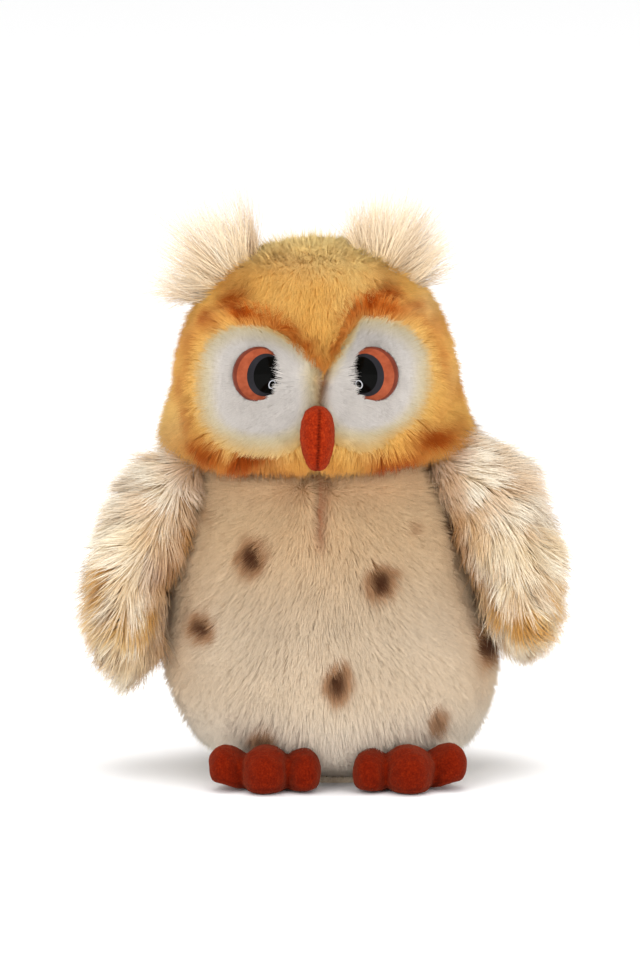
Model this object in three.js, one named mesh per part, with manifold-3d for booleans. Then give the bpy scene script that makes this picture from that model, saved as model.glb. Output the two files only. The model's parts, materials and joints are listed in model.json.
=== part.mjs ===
// An interactive plush owl: sewn, stuffed soft parts round a screwed plastic core with a motor that turns the head.
// Millimetres, +Z up, the owl faces -Y, and its own left side is +X. The origin is on the ground under its middle.
import * as THREE from "three";
import { mergeVertices } from "three/addons/utils/BufferGeometryUtils.js";
import Module from "manifold-3d";

const wasm = await Module();
wasm.setup();

// ---- Driving dimensions -------------------------------------------------------------------------
const GAP = 0.3; // clearance between pieces that touch
const CLOTH = 2.5; // plush backing with the packed foot of its pile
const FINE = 0.03; // smallest step kept on any surface
const NECK_X = -2; // the neck's axis stands a little to the owl's right
const BASE_X = 6; // the belly and feet settle a little to its left
const NECK_Z = 115.6; // height of the plane between head and shoulders
const BODY_TOP = 115.2;
const BODY_DEPTH = 0.93; // front-to-back size of the body as a share of its width
const BASE_R = 37;
const HEAD_DEPTH = 0.9;
const HEAD_BOTTOM = 116;
const HEAD_TOP = 197;
const HEAD_TURN_R = 60; // radius that the turning head sweeps
const EYE_R = 10;
const EYE_SPACING = 23.4; // from the head's axis
const EYE_Z = 151;
const WING_LIFT_DEG = 30;
const SHOULDER = { x: 45, z: 102.5 }; // wing hinge, from the middle of the shoulders
const SHOULDER_X = -1; // middle of the shoulders
const CORE = { x: 2, width: 54, depth: 44, bottom: 18, top: 94, wall: 2 };
const BATTERY = { length: 44.5, radius: 5.25, pitch: 11, z: 9.2 };
const MODULE = 0.8; // of every gear
const TEETH = { neck: 24, idlerSmall: 12, idlerBig: 24, motor: 10 };
const SHAFT_R = 3;

// ---- Solids -------------------------------------------------------------------------------------
function solidFrom(positions, index) {
  const made = new wasm.Manifold(new wasm.Mesh({ numProp: 3, vertProperties: positions, triVerts: index }));
  if (made.volume() >= 0) return made;
  const turned = new Uint32Array(index);
  for (let i = 0; i < turned.length; i += 3) [turned[i + 1], turned[i + 2]] = [turned[i + 2], turned[i + 1]];
  return new wasm.Manifold(new wasm.Mesh({ numProp: 3, vertProperties: positions, triVerts: turned }));
}

// A closed three.js geometry, bent by an optional function of each point, as a solid.
function solid(geometry, bend) {
  const bare = geometry.clone();
  bare.deleteAttribute("normal");
  bare.deleteAttribute("uv");
  if (bend) {
    const at = bare.getAttribute("position");
    const p = new THREE.Vector3();
    for (let i = 0; i < at.count; i++) {
      p.fromBufferAttribute(at, i);
      bend(p);
      at.setXYZ(i, p.x, p.y, p.z);
    }
  }
  const merged = mergeVertices(bare, 1e-4);
  return solidFrom(new Float32Array(merged.getAttribute("position").array), new Uint32Array(merged.index.array));
}

function geometryOf(shape) {
  const m = shape.getMesh();
  const at = new Float32Array(m.numVert * 3);
  for (let i = 0; i < m.numVert; i++) at.set(m.vertProperties.subarray(i * m.numProp, i * m.numProp + 3), i * 3);
  const geometry = new THREE.BufferGeometry();
  geometry.setAttribute("position", new THREE.BufferAttribute(at, 3));
  geometry.setIndex(new THREE.BufferAttribute(new Uint32Array(m.triVerts), 1));
  geometry.computeVertexNormals();
  return geometry;
}

const box = (x0, x1, y0, y1, z0, z1) =>
  solid(new THREE.BoxGeometry(x1 - x0, y1 - y0, z1 - z0).translate((x0 + x1) / 2, (y0 + y1) / 2, (z0 + z1) / 2));

const post = (x, y, z0, z1, r, sides = 24) =>
  solid(new THREE.CylinderGeometry(r, r, z1 - z0, sides).rotateX(Math.PI / 2).translate(x, y, (z0 + z1) / 2));

const barX = (x0, x1, y, z, r, sides = 20) =>
  solid(new THREE.CylinderGeometry(r, r, x1 - x0, sides).rotateZ(Math.PI / 2).translate((x0 + x1) / 2, y, z));

const barY = (x, y0, y1, z, r, sides = 20) =>
  solid(new THREE.CylinderGeometry(r, r, y1 - y0, sides).translate(x, (y0 + y1) / 2, z));

// A turned piece round a vertical axis; the profile is [radius, z] points from the bottom up.
function turned(profile, x = 0, y = 0, sides = 24, bend = undefined) {
  const points = profile.map(([r, z]) => new THREE.Vector2(r, z));
  const lathe = new THREE.LatheGeometry(points, sides).rotateX(Math.PI / 2).translate(x, y, 0);
  return solid(lathe, bend);
}

const joined = (...shapes) => shapes.reduce((a, b) => a.add(b));
const cut = (shape, ...tools) => tools.reduce((a, b) => a.subtract(b), shape);

// An ellipsoid of radii [rx, ry, rz] at a centre, turned about X, Y and Z in degrees.
function pillow(centre, radii, turn = [0, 0, 0], across = 20, up = 14) {
  const matrix = new THREE.Matrix4().compose(
    new THREE.Vector3(...centre),
    new THREE.Quaternion().setFromEuler(new THREE.Euler(...turn.map((a) => (a * Math.PI) / 180), "ZYX")),
    new THREE.Vector3(...radii),
  );
  return solid(new THREE.SphereGeometry(1, across, up).applyMatrix4(matrix));
}

// ---- Soft outlines ------------------------------------------------------------------------------
const BODY_PROFILE = [
  [37, 0], [43.5, 6], [49.5, 15], [55, 28], [58.4, 42], [58.6, 55],
  [56.5, 69], [52.5, 84], [47, 97], [40, 108], [32, 113.2], [22, BODY_TOP],
];
const HEAD_PROFILE = [
  [40, HEAD_BOTTOM], [49.5, 117.3], [55, 121], [56.5, 127], [54.5, 134], [52, 143], [50, 153],
  [47.6, 163], [44, 172.5], [38.5, 181], [31, 188.5], [21, 194], [10, 196.6],
];
const ROUND = 28; // sides of the body and head

const leanAt = (z) => BASE_X + ((NECK_X - BASE_X) * z) / BODY_TOP;

// The body's outer form, drawn in by inset everywhere.
function bodyForm(inset) {
  const profile = BODY_PROFILE.map(([r, z]) => [r - inset, Math.min(Math.max(z, inset), BODY_TOP - inset)]);
  const closed = [[0, profile[0][1]], ...profile, [0, BODY_TOP - inset]];
  return turned(closed, 0, 0, ROUND, (p) => {
    p.y *= BODY_DEPTH;
    p.x += leanAt(p.z);
  });
}

function headForm(inset) {
  const profile = HEAD_PROFILE.map(([r, z]) => [
    Math.max(r - inset, 1),
    Math.min(Math.max(z, HEAD_BOTTOM + inset), HEAD_TOP - inset),
  ]);
  const closed = [[0, profile[0][1]], ...profile, [0, HEAD_TOP - inset]];
  return turned(closed, NECK_X, 0, ROUND, (p) => {
    p.y *= HEAD_DEPTH;
  });
}

// ---- Assembly -----------------------------------------------------------------------------------
const owl = new THREE.Group();

function add(name, shape, color, roughness = 0.8, metalness = 0) {
  const material = new THREE.MeshStandardMaterial({ color, roughness, metalness });
  const mesh = new THREE.Mesh(geometryOf(shape.simplify(FINE)), material);
  mesh.name = name;
  owl.add(mesh);
}

const COLOUR = {
  belly: 0xc8ab8a, ginger: 0xcc9148, cream: 0xdcd2bc, white: 0xd8d2c6, rust: 0x86240a, wing: 0xd9caa8,
  plastic: 0xd9d6cc, dark: 0x2a2a2c, steel: 0xa8aab0, gear: 0xe8e4d8, board: 0x2f6b3a, copper: 0x9c5234,
};

// ---- Battery box in the base --------------------------------------------------------------------
const BOX = { x: BASE_X, halfX: 27, halfY: 19.5, bottom: 1, top: 17.4, wall: 1.8 };
const LATCH_X = BOX.x + BOX.halfX + 2.2; // the screw that holds the battery door
const SWITCH = { x: BASE_X, y: 27, halfX: 6, halfY: 3.2 };

function batteryBox() {
  const { x, halfX, halfY, bottom, top, wall } = BOX;
  const tray = box(x - halfX, x + halfX, -halfY, halfY, bottom, top);
  const flange = box(x - halfX - 6, x + halfX + 6, -halfY - 2.5, halfY + 2.5, 2.4, 4);
  const disc = post(x, 0, 2, 5, BASE_R - 2.4, 40);
  const bay = box(x - halfX + wall, x + halfX - wall, -halfY + wall, halfY - wall, 0, top - wall);
  const boss = post(LATCH_X, 0, 2.4, 12, 2.6, 16);
  const tabSlot = box(x, x + halfX + 1, -4.4, 4.4, 0, 2.4);
  const pilot = post(LATCH_X, 0, 2, 11, 0.9, 12);
  return cut(joined(tray, flange.intersect(disc), boss), bay, tabSlot, pilot);
}

function batteryCell(y) {
  const x0 = BASE_X - BATTERY.length / 2 + 0.9;
  const can = barX(x0, x0 + BATTERY.length - 1, y, BATTERY.z, BATTERY.radius, 18);
  return joined(can, barX(x0 + BATTERY.length - 1.2, x0 + BATTERY.length, y, BATTERY.z, 1.9, 12));
}

// A conical compression spring of round wire, with its axis along X.
function contactSpring(y) {
  const turns = 2.5;
  const points = [];
  for (let i = 0; i <= turns * 8; i++) {
    const t = i / (turns * 8);
    const a = t * turns * 2 * Math.PI;
    const r = 3.6 - 1.6 * t;
    points.push(new THREE.Vector3(t * 2.2, r * Math.cos(a), r * Math.sin(a)));
  }
  const wire = new THREE.Shape().absarc(0, 0, 0.3, 0, 2 * Math.PI);
  const coil = new THREE.ExtrudeGeometry(wire, {
    steps: turns * 8,
    curveSegments: 3,
    extrudePath: new THREE.CatmullRomCurve3(points),
    bevelEnabled: false,
  });
  return solid(coil.translate(BASE_X - BATTERY.length / 2 - 2.1, y, BATTERY.z));
}

add("battery_box", batteryBox(), COLOUR.plastic, 0.5);
[-1, 0, 1].forEach((row, i) => {
  add(`battery_cell_${i + 1}`, batteryCell(row * BATTERY.pitch), 0x4a5a6a, 0.35, 0.6);
  add(`contact_spring_${i + 1}`, contactSpring(row * BATTERY.pitch), COLOUR.steel, 0.3, 1);
});

function batteryDoor() {
  const { x, halfX, halfY, wall } = BOX;
  const edge = wall + 0.4;
  const lid = box(x - halfX + edge, x + halfX - edge, -halfY + edge, halfY - edge, 1, 3.2);
  const tab = box(x + halfX - 5, LATCH_X + 2.8, -4, 4, 1, 2.1);
  const grips = [0, 1, 2, 3].map((i) => box(x + 8, x + 18, -4.5 + i * 2.6, -3.3 + i * 2.6, 0.5, 1.4));
  return cut(joined(lid, tab), post(LATCH_X, 0, 0, 3, 1.2, 16), ...grips);
}

add("battery_door", batteryDoor(), COLOUR.plastic, 0.5);
add(
  "battery_door_screw",
  cut(
    joined(post(LATCH_X, 0, 0.3, 0.9, 2.3), post(LATCH_X, 0, 0.8, 9, 0.75, 10)),
    box(LATCH_X - 3, LATCH_X + 3, -0.35, 0.35, 0, 0.6),
  ),
  COLOUR.steel, 0.3, 1,
);

// The cloth base is a flat disc round the battery box and the switch.
function basePanel() {
  const { x, halfX, halfY } = BOX;
  const disc = post(BASE_X, 0, 0, 2, BASE_R - 2, 48);
  const boxHole = box(x - halfX - GAP, x + halfX + GAP, -halfY - GAP, halfY + GAP, -1, 3);
  const switchHole = box(SWITCH.x - 6.3, SWITCH.x + 6.3, SWITCH.y - 3.5, SWITCH.y + 3.5, -1, 3);
  const tabHole = box(x, LATCH_X + 3.2, -4.4, 4.4, -1, 3);
  return cut(disc, boxHole, tabHole, switchHole);
}
add("base_panel", basePanel(), COLOUR.belly);

// ---- Power switch -------------------------------------------------------------------------------
const switchHousing = cut(
  box(SWITCH.x - 6, SWITCH.x + 6, SWITCH.y - 3.2, SWITCH.y + 3.2, 0.8, 8),
  box(SWITCH.x - 4.6, SWITCH.x + 4.6, SWITCH.y - 1.6, SWITCH.y + 1.6, 0, 5.5),
);
add("power_switch_housing", switchHousing, COLOUR.dark, 0.5);
add(
  "power_switch_slider",
  joined(
    box(SWITCH.x - 4.2, SWITCH.x + 0.2, SWITCH.y - 1.3, SWITCH.y + 1.3, 1.6, 5.2),
    box(SWITCH.x - 3.2, SWITCH.x - 0.8, SWITCH.y - 1, SWITCH.y + 1, 0.9, 1.8),
  ),
  COLOUR.plastic, 0.5,
);

// ---- Core casing --------------------------------------------------------------------------------
const coreX0 = CORE.x - CORE.width / 2;
const coreX1 = CORE.x + CORE.width / 2;
const coreY = CORE.depth / 2;
const SPEAKER = { z: 46, r: 14 };
const BELLY_BUTTON = { x: CORE.x + 12, z: 68 };
const SCREWS = [
  [coreX0 + 4.5, 24], [coreX1 - 4.5, 24], [coreX0 + 4.5, 88], [coreX1 - 4.5, 88],
];

function coreShell() {
  const w = CORE.wall;
  const outer = box(coreX0, coreX1, -coreY, coreY, CORE.bottom, CORE.top);
  const inner = box(coreX0 + w, coreX1 - w, -coreY + w, coreY - w, CORE.bottom + w, CORE.top - w);
  const bosses = SCREWS.map(([x, z]) => barY(x, -coreY + 1, coreY - 1, z, 2.9, 12));
  const holes = SCREWS.map(([x, z]) => barY(x, -coreY - 1, coreY - 6, z, 1.45, 12));
  const slots = [-2, -1, 0, 1, 2].map((i) =>
    box(CORE.x - 10 + Math.abs(i) * 2, CORE.x + 10 - Math.abs(i) * 2,
      -coreY - 1, -coreY + w + 1, SPEAKER.z + i * 4.6 - 1, SPEAKER.z + i * 4.6 + 1));
  const buttonHole = barY(BELLY_BUTTON.x, -coreY - 1, -coreY + w + 1, BELLY_BUTTON.z, 4.4);
  const bushHole = post(NECK_X, 0, CORE.top - w - 1, CORE.top + 1, 6 + GAP);
  const leadHole = post(CORE.x - 18, 0, CORE.bottom - 1, CORE.bottom + w + 1, 2.5, 12);
  return cut(joined(cut(outer, inner), ...bosses), ...holes, ...slots, buttonHole, bushHole, leadHole);
}

const shell = coreShell();
const far = 200;
add("core_front", shell.intersect(box(-far, far, -far, -0.15, 0, far)), COLOUR.plastic, 0.5);
add("core_rear", shell.intersect(box(-far, far, 0.15, far, 0, far)), COLOUR.plastic, 0.5);

function coreScrew([x, z]) {
  const head = barY(x, -coreY - 1.6, -coreY - 0.3, z, 2.6, 16);
  const shank = barY(x, -coreY - 0.5, coreY - 8, z, 1.1, 10);
  const slot = box(x - 2, x + 2, -coreY - 2, -coreY - 1, z - 0.35, z + 0.35);
  return cut(joined(head, shank), slot);
}
SCREWS.forEach((place, i) => add(`core_screw_${i + 1}`, coreScrew(place), COLOUR.steel, 0.3, 1));

// ---- Electronics --------------------------------------------------------------------------------
function speaker() {
  const { r } = SPEAKER;
  const turnedUp = turned(
    [[0, 2.4], [4, 1.6], [r - 3, 0.6], [r - 1.5, 0], [r, 0], [r, 1.6], [7.5, 5.5], [7.5, 9.5], [0, 9.5]],
    0, 0, 28,
  );
  return turnedUp.rotate([-90, 0, 0]).translate([CORE.x, -coreY + CORE.wall + GAP, SPEAKER.z]);
}
add("speaker", speaker(), COLOUR.dark, 0.6, 0.2);

function circuitBoard() {
  const y = 14.5;
  const board = box(CORE.x - 18, CORE.x + 18, y, y + 1.6, 21, 42);
  const chip = pillow([CORE.x + 6, y, 32], [6, 2.2, 6], [0, 0, 0], 14, 10);
  const parts = [-14, -9, -4].map((dx) => box(CORE.x + dx, CORE.x + dx + 3, y - 2, y + 0.1, 24, 29));
  const capacitor = post(CORE.x - 11, y - 3, 33, 40.5, 3.1, 16);
  return joined(board, chip, ...parts, capacitor);
}
add("circuit_board", circuitBoard(), COLOUR.board, 0.5);

// A press switch behind the belly. The cap slides back along +Y.
const buttonHousing = cut(
  barY(BELLY_BUTTON.x, -coreY + CORE.wall + GAP, -coreY + 8.5, BELLY_BUTTON.z, 6.2),
  barY(BELLY_BUTTON.x, -coreY, -coreY + 7, BELLY_BUTTON.z, 5),
);
add("belly_switch_housing", buttonHousing, COLOUR.dark, 0.5);
add(
  "belly_button",
  joined(
    barY(BELLY_BUTTON.x, -coreY - 4.4, -coreY + 3, BELLY_BUTTON.z, 4),
    barY(BELLY_BUTTON.x, -coreY + 2.4, -coreY + 3.6, BELLY_BUTTON.z, 4.6),
  ),
  COLOUR.copper, 0.5,
);

// ---- Head drive ---------------------------------------------------------------------------------
const PLATE_Z = 72;
const LEVEL = { mesh: PLATE_Z + 3.2, top: PLATE_Z + 10.5 };
const pitchR = (teeth) => (teeth * MODULE) / 2;
const IDLER = { x: NECK_X + pitchR(TEETH.neck) + pitchR(TEETH.idlerSmall) + 0.1, y: 0 };
const MOTOR_TURN = (2 * Math.PI) / 3;
const MOTOR_REACH = pitchR(TEETH.idlerBig) + pitchR(TEETH.motor) + 0.1;
const MOTOR = {
  x: IDLER.x + MOTOR_REACH * Math.cos(MOTOR_TURN),
  y: IDLER.y + MOTOR_REACH * Math.sin(MOTOR_TURN),
};

// A spur gear with straight-sided teeth. One tooth points along angle.
function gear(teeth, z0, z1, bore, x, y, angle) {
  const root = pitchR(teeth) - 1.15 * MODULE;
  const tip = pitchR(teeth) + 0.8 * MODULE;
  const step = (2 * Math.PI) / teeth;
  const rootHalf = step * 0.29;
  const tipHalf = (0.17 * step * pitchR(teeth)) / tip;
  const outline = new THREE.Shape();
  for (let i = 0; i < teeth; i++) {
    const middle = angle + i * step;
    [[root, -rootHalf], [tip, -tipHalf], [tip, tipHalf], [root, rootHalf]].forEach(([r, a], k) => {
      const px = r * Math.cos(middle + a);
      const py = r * Math.sin(middle + a);
      if (i === 0 && k === 0) outline.moveTo(px, py);
      else outline.lineTo(px, py);
    });
  }
  outline.closePath();
  const blank = solid(new THREE.ExtrudeGeometry(outline, { depth: z1 - z0, bevelEnabled: false }));
  const placed = blank.translate([x, y, z0]);
  return bore ? cut(placed, post(x, y, z0 - 1, z1 + 1, bore, 20)) : placed;
}

const halfStep = (teeth) => Math.PI / teeth;
add(
  "neck_gear",
  joined(
    gear(TEETH.neck, LEVEL.mesh, LEVEL.mesh + 4, SHAFT_R + GAP, NECK_X, 0, 0),
    cut(post(NECK_X, 0, LEVEL.mesh + 3.9, LEVEL.top - 0.5, 5), post(NECK_X, 0, 0, far, SHAFT_R + GAP, 20)),
  ),
  COLOUR.gear, 0.5,
);
add(
  "idler_gear",
  joined(
    gear(TEETH.idlerSmall, LEVEL.mesh - 0.5, LEVEL.top + 0.1, 1.5, IDLER.x, IDLER.y, Math.PI + halfStep(TEETH.idlerSmall)),
    gear(TEETH.idlerBig, LEVEL.top, LEVEL.top + 3, 1.5, IDLER.x, IDLER.y, MOTOR_TURN),
  ),
  COLOUR.gear, 0.5,
);
add("idler_pin", post(IDLER.x, IDLER.y, PLATE_Z - 1.5, LEVEL.top + 5, 1.2, 16), COLOUR.steel, 0.3, 1);
add(
  "motor_pinion",
  gear(
    TEETH.motor, LEVEL.top - 0.5, LEVEL.top + 3.5, 1 + 0.2, MOTOR.x, MOTOR.y,
    MOTOR_TURN + Math.PI + halfStep(TEETH.motor),
  ),
  COLOUR.gear, 0.5,
);

// The motor can is a cylinder with two flats, and its shaft turns with the pinion.
const motorCan = post(0, 0, PLATE_Z - 27, PLATE_Z - GAP, 10, 28).intersect(box(-10, 10, -7.5, 7.5, 0, far));
add(
  "motor",
  cut(
    joined(
      motorCan.translate([MOTOR.x, MOTOR.y, 0]),
      post(MOTOR.x, MOTOR.y, PLATE_Z - 0.4, PLATE_Z + 1.6, 3, 20),
    ),
    post(MOTOR.x, MOTOR.y, PLATE_Z - 12, far, 1.2, 12),
  ),
  COLOUR.steel, 0.35, 0.9,
);
add("motor_shaft", post(MOTOR.x, MOTOR.y, PLATE_Z - 11, LEVEL.top + 4.5, 0.9, 12), COLOUR.steel, 0.25, 1);

function gearPlate() {
  const w = CORE.wall + GAP;
  const plate = box(coreX0 + w, coreX1 - w, -coreY + w, coreY - w, PLATE_Z, PLATE_Z + 2);
  const well = box(BELLY_BUTTON.x - 6.5, BELLY_BUTTON.x + 6.5, -coreY, -coreY + 9, 0, far);
  const shaftHole = post(NECK_X, 0, 0, far, SHAFT_R + GAP, 20);
  const pinHole = post(IDLER.x, IDLER.y, 0, far, 1.5, 16);
  const motorHole = post(MOTOR.x, MOTOR.y, 0, far, 3 + GAP, 20);
  return cut(plate, well, shaftHole, pinHole, motorHole);
}
add("gear_plate", gearPlate(), COLOUR.plastic, 0.5);

add("neck_shaft", post(NECK_X, 0, PLATE_Z - 2, HEAD_BOTTOM + 1, SHAFT_R, 20), COLOUR.steel, 0.3, 1);
add(
  "neck_bush",
  cut(
    joined(post(NECK_X, 0, CORE.top - 3.5, CORE.top + 0.5, 6), post(NECK_X, 0, CORE.top + GAP, CORE.top + 3, 9)),
    post(NECK_X, 0, 0, far, SHAFT_R + 0.15, 24),
  ),
  COLOUR.dark, 0.5,
);

// ---- Head frame and pat switch ------------------------------------------------------------------
const FRAME = { bottom: HEAD_BOTTOM + 1.2, top: HEAD_BOTTOM + 4.2, r: 27, mastTop: 168 };
add(
  "head_frame",
  cut(
    joined(post(NECK_X, 0, FRAME.bottom, FRAME.top, FRAME.r, 40), post(NECK_X, 8, FRAME.top - 0.1, FRAME.mastTop, 5, 16)),
    post(NECK_X, 0, 0, far, 1.5, 12),
  ),
  COLOUR.plastic, 0.5,
);
add(
  "head_frame_screw",
  joined(post(NECK_X, 0, FRAME.bottom + 0.1, FRAME.top + 0.5, 1.2, 12), post(NECK_X, 0, FRAME.top + GAP, FRAME.top + 2, 2.4, 16)),
  COLOUR.steel, 0.3, 1,
);
const PAT = { y: 8, bottom: FRAME.mastTop + GAP, r: 8 };
add(
  "pat_switch_housing",
  cut(
    post(NECK_X, PAT.y, PAT.bottom, PAT.bottom + 8, PAT.r, 28),
    post(NECK_X, PAT.y, PAT.bottom + 1.5, PAT.bottom + 7, PAT.r - 1.6, 28),
    post(NECK_X, PAT.y, PAT.bottom + 5, PAT.bottom + 9, PAT.r - 2.6, 28),
  ),
  COLOUR.dark, 0.5,
);
add(
  "pat_button",
  joined(
    post(NECK_X, PAT.y, PAT.bottom + 4.2, PAT.bottom + 11.5, PAT.r - 3, 28),
    post(NECK_X, PAT.y, PAT.bottom + 4.2, PAT.bottom + 5.6, PAT.r - 2, 28),
  ),
  COLOUR.copper, 0.5,
);

// ---- Body ---------------------------------------------------------------------------------------
const SEAM_Y = -9; // the seam between the belly panel and the back

function bodySkin() {
  const shellForm = cut(bodyForm(0), bodyForm(CLOTH));
  const floor = post(BASE_X, 0, -1, CLOTH + 1, BASE_R - 2 + GAP, 48);
  const neck = post(NECK_X, 0, BODY_TOP - 5, far, 12);
  return cut(shellForm, floor, neck);
}
const skin = bodySkin();
add("belly_panel", skin.intersect(box(-far, far, -far, SEAM_Y - GAP / 2, -1, far)), COLOUR.belly);
add("back_panel", skin.intersect(box(-far, far, SEAM_Y + GAP / 2, far, -1, far)), COLOUR.belly);

function bodyStuffing() {
  const room = GAP;
  const core = box(coreX0 - room, coreX1 + room, -coreY - 2, coreY + room, CORE.bottom - room, CORE.top + room);
  const flange = post(BOX.x, 0, -1, 4 + GAP, BASE_R - 2, 40);
  const tray = box(BOX.x - 27.3, BOX.x + 27.3, -19.8, 19.8, -1, CORE.bottom);
  const boss = post(LATCH_X, 0, 0, 12.4, 3, 16);
  const toggle = box(SWITCH.x - 7, SWITCH.x + 7, 20, SWITCH.y + 4, -1, 9);
  const press = barY(BELLY_BUTTON.x, -coreY - 5, 0, BELLY_BUTTON.z, 5.2);
  const neck = post(NECK_X, 0, CORE.top - 1, far, 12);
  return cut(bodyForm(CLOTH + GAP), core, flange, tray, boss, toggle, press, neck);
}
add("body_stuffing", bodyStuffing(), 0xf2f0ea);

// ---- Feet ---------------------------------------------------------------------------------------
// Each foot is three stuffed toes fanned from under the belly: [sideways, forward, half-width, half-length, half-height].
const TOES = {
  right: { x: -18.5, toes: [[-14, -47, 7.2, 12, 7.8, -24], [-1.5, -51, 9, 14, 9, -4], [11.5, -49, 7, 13, 8, 10]] },
  left: { x: 30, toes: [[-11.5, -49, 7, 13, 8, -10], [1.5, -51, 9.4, 14, 9, 6], [14, -45, 7.6, 12, 8, 30]] },
};
const SOLE = 1.6;

function footForm({ x, toes }) {
  const pads = toes.map(([dx, y, rx, ry, rz, turn]) => pillow([x + dx, y, rz - 1.2], [rx, ry, rz], [0, 0, turn], 16, 10));
  const heel = pillow([x, -42, 5], [16, 11, 6], [0, 0, 0], 14, 8);
  return joined(...pads, heel).subtract(bodyForm(-GAP)).intersect(box(-far, far, -far, far, 0, far));
}
for (const [side, foot] of Object.entries(TOES)) {
  const form = footForm(foot);
  add(`foot_${side}`, form.intersect(box(-far, far, -far, far, SOLE + GAP / 2, far)), COLOUR.rust, 0.9);
  const tread = form.intersect(box(-far, far, -far, far, SOLE, SOLE + 1)).hull();
  const sole = tread.translate([0, 0, -SOLE]).intersect(box(-far, far, -far, far, 0, SOLE - GAP / 2));
  add(`foot_${side}_sole`, cut(sole, bodyForm(-GAP)), COLOUR.rust, 0.9);
}

// ---- Tail ---------------------------------------------------------------------------------------
const tailForm = pillow([leanAt(20), 52, 22], [15, 9, 21], [-28, 0, 0], 18, 12);
add(
  "tail",
  tailForm.subtract(bodyForm(-GAP)).intersect(box(-far, far, 40, far, 0.5, far)),
  COLOUR.wing,
);

// ---- Wings --------------------------------------------------------------------------------------
// A wing is a padded oval that hangs against the body from the shoulder.
// side is 1 for the owl's left and -1 for its right, and the pad's centre is measured from the shoulder hinge.
const WING = {
  left: { side: 1, drop: -31, out: 21.9, tilt: 12, length: 33, depth: 31, thick: 19, sweep: 14 },
  right: { side: -1, drop: -38, out: 19.5, tilt: 9, length: 39, depth: 32, thick: 19.5, sweep: 14 },
};
const LINING = 4;

function wingForm({ side, drop, out, tilt, length, depth, thick, sweep }) {
  const px = SHOULDER_X + side * SHOULDER.x;
  const turn = [0, -side * tilt, side * sweep];
  const pad = pillow([px + side * out, 3, SHOULDER.z + drop], [thick, depth, length], turn, 18, 12);
  const shoulder = pillow([px + side * 5, 2, SHOULDER.z - 3], [13, 20, 13], [0, 0, 0], 14, 10);
  let form = wasm.Manifold.hull([pad, shoulder]);
  const headSweep = post(NECK_X, 0, NECK_Z, far, HEAD_TURN_R, 40);
  const body = bodyForm(-0.6);
  const steps = 4;
  for (let i = 0; i <= steps; i++) {
    const angle = (side * WING_LIFT_DEG * i) / steps; // the lifting wing sees what stands still turn this way
    const seen = (s) => s.translate([-px, 0, -SHOULDER.z]).rotate([0, angle, 0]).translate([px, 0, SHOULDER.z]);
    form = cut(form, seen(body), seen(headSweep));
  }
  return form;
}

const largest = (shape) => shape.decompose().sort((a, b) => b.volume() - a.volume())[0];

for (const [name, wing] of Object.entries(WING)) {
  const form = wingForm(wing);
  const inside = form.translate([wing.side * LINING, 0, 0]);
  const outside = form.translate([wing.side * (LINING + GAP), 0, 0]);
  add(`wing_${name}_lining`, largest(cut(form, inside)), COLOUR.belly);
  add(`wing_${name}`, largest(form.intersect(inside).intersect(outside)), COLOUR.wing);
}

// ---- Head ---------------------------------------------------------------------------------------
const eyeX = (side) => NECK_X + side * EYE_SPACING;
const EYE_Y = -40.5;
const EYE_TURN = 8; // the eyes look a little inwards
const BEAK = { x: NECK_X + 0.5, z: 129.5, y: -50.5 };

// Places a piece modelled on +Z through the origin at an eye, looking along -Y.
function atEye(shape, side) {
  return shape.rotate([90, 0, 0]).rotate([0, 0, side * -EYE_TURN]).translate([eyeX(side), EYE_Y, EYE_Z]);
}
const eyeDome = [[2, -15], [2, -1.5], [EYE_R - 1.2, -1.5], [EYE_R, -0.4], [EYE_R, 0.4], [8.8, 2.6], [6.6, 4.4], [3.6, 5.6]];
const eyeHole = (side) => atEye(post(0, 0, -13.6, 10, EYE_R + GAP, 28), side);
const stemHole = (side) => atEye(post(0, 0, -40, 0, 2.4, 14), side);
const washerRoom = (side) => atEye(post(0, 0, -12.4, -9, 8.4, 24), side);

for (const [name, side] of [["left", 1], ["right", -1]]) {
  add(`eye_${name}`, atEye(turned([[0, -15], ...eyeDome, [0, 6]], 0, 0, 28), side), COLOUR.dark, 0.1);
  add(
    `eye_washer_${name}`,
    atEye(cut(post(0, 0, -12, -10.4, 8, 24), post(0, 0, -20, 0, 2.25, 14)), side),
    COLOUR.plastic, 0.5,
  );
}

const beakForm = pillow([BEAK.x, BEAK.y, BEAK.z], [6.4, 9, 13], [-10, 0, 0], 18, 16);

// The face discs are two plush ovals laid on the head's front, either side of the beak.
const DISC = { x: 22.6, z: 144.5, halfWidth: 22.2, halfHeight: 26, lift: 5 };
function faceDisc(side) {
  const oval = solid(
    new THREE.CylinderGeometry(1, 1, 60, 32).scale(DISC.halfWidth, 1, DISC.halfHeight).rotateY((side * -8 * Math.PI) / 180),
  ).translate([NECK_X + side * DISC.x, -50, DISC.z]);
  const layer = cut(headForm(-DISC.lift), headForm(-GAP)).intersect(box(-far, far, -far, -18, NECK_Z + 1, far));
  const half = side > 0 ? box(NECK_X + 0.2, far, -far, far, 0, far) : box(-far, NECK_X - 0.2, -far, far, 0, far);
  return layer.intersect(oval).intersect(half);
}
const beakRoom = pillow([BEAK.x, BEAK.y, BEAK.z], [6.7, 9.3, 13.3], [-10, 0, 0], 18, 16);
add("beak", cut(beakForm, headForm(-GAP)), COLOUR.rust, 0.9);
for (const [name, side] of [["left", 1], ["right", -1]]) {
  add(`face_disc_${name}`, cut(faceDisc(side), beakRoom, eyeHole(side), stemHole(side)), COLOUR.white);
}

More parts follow.
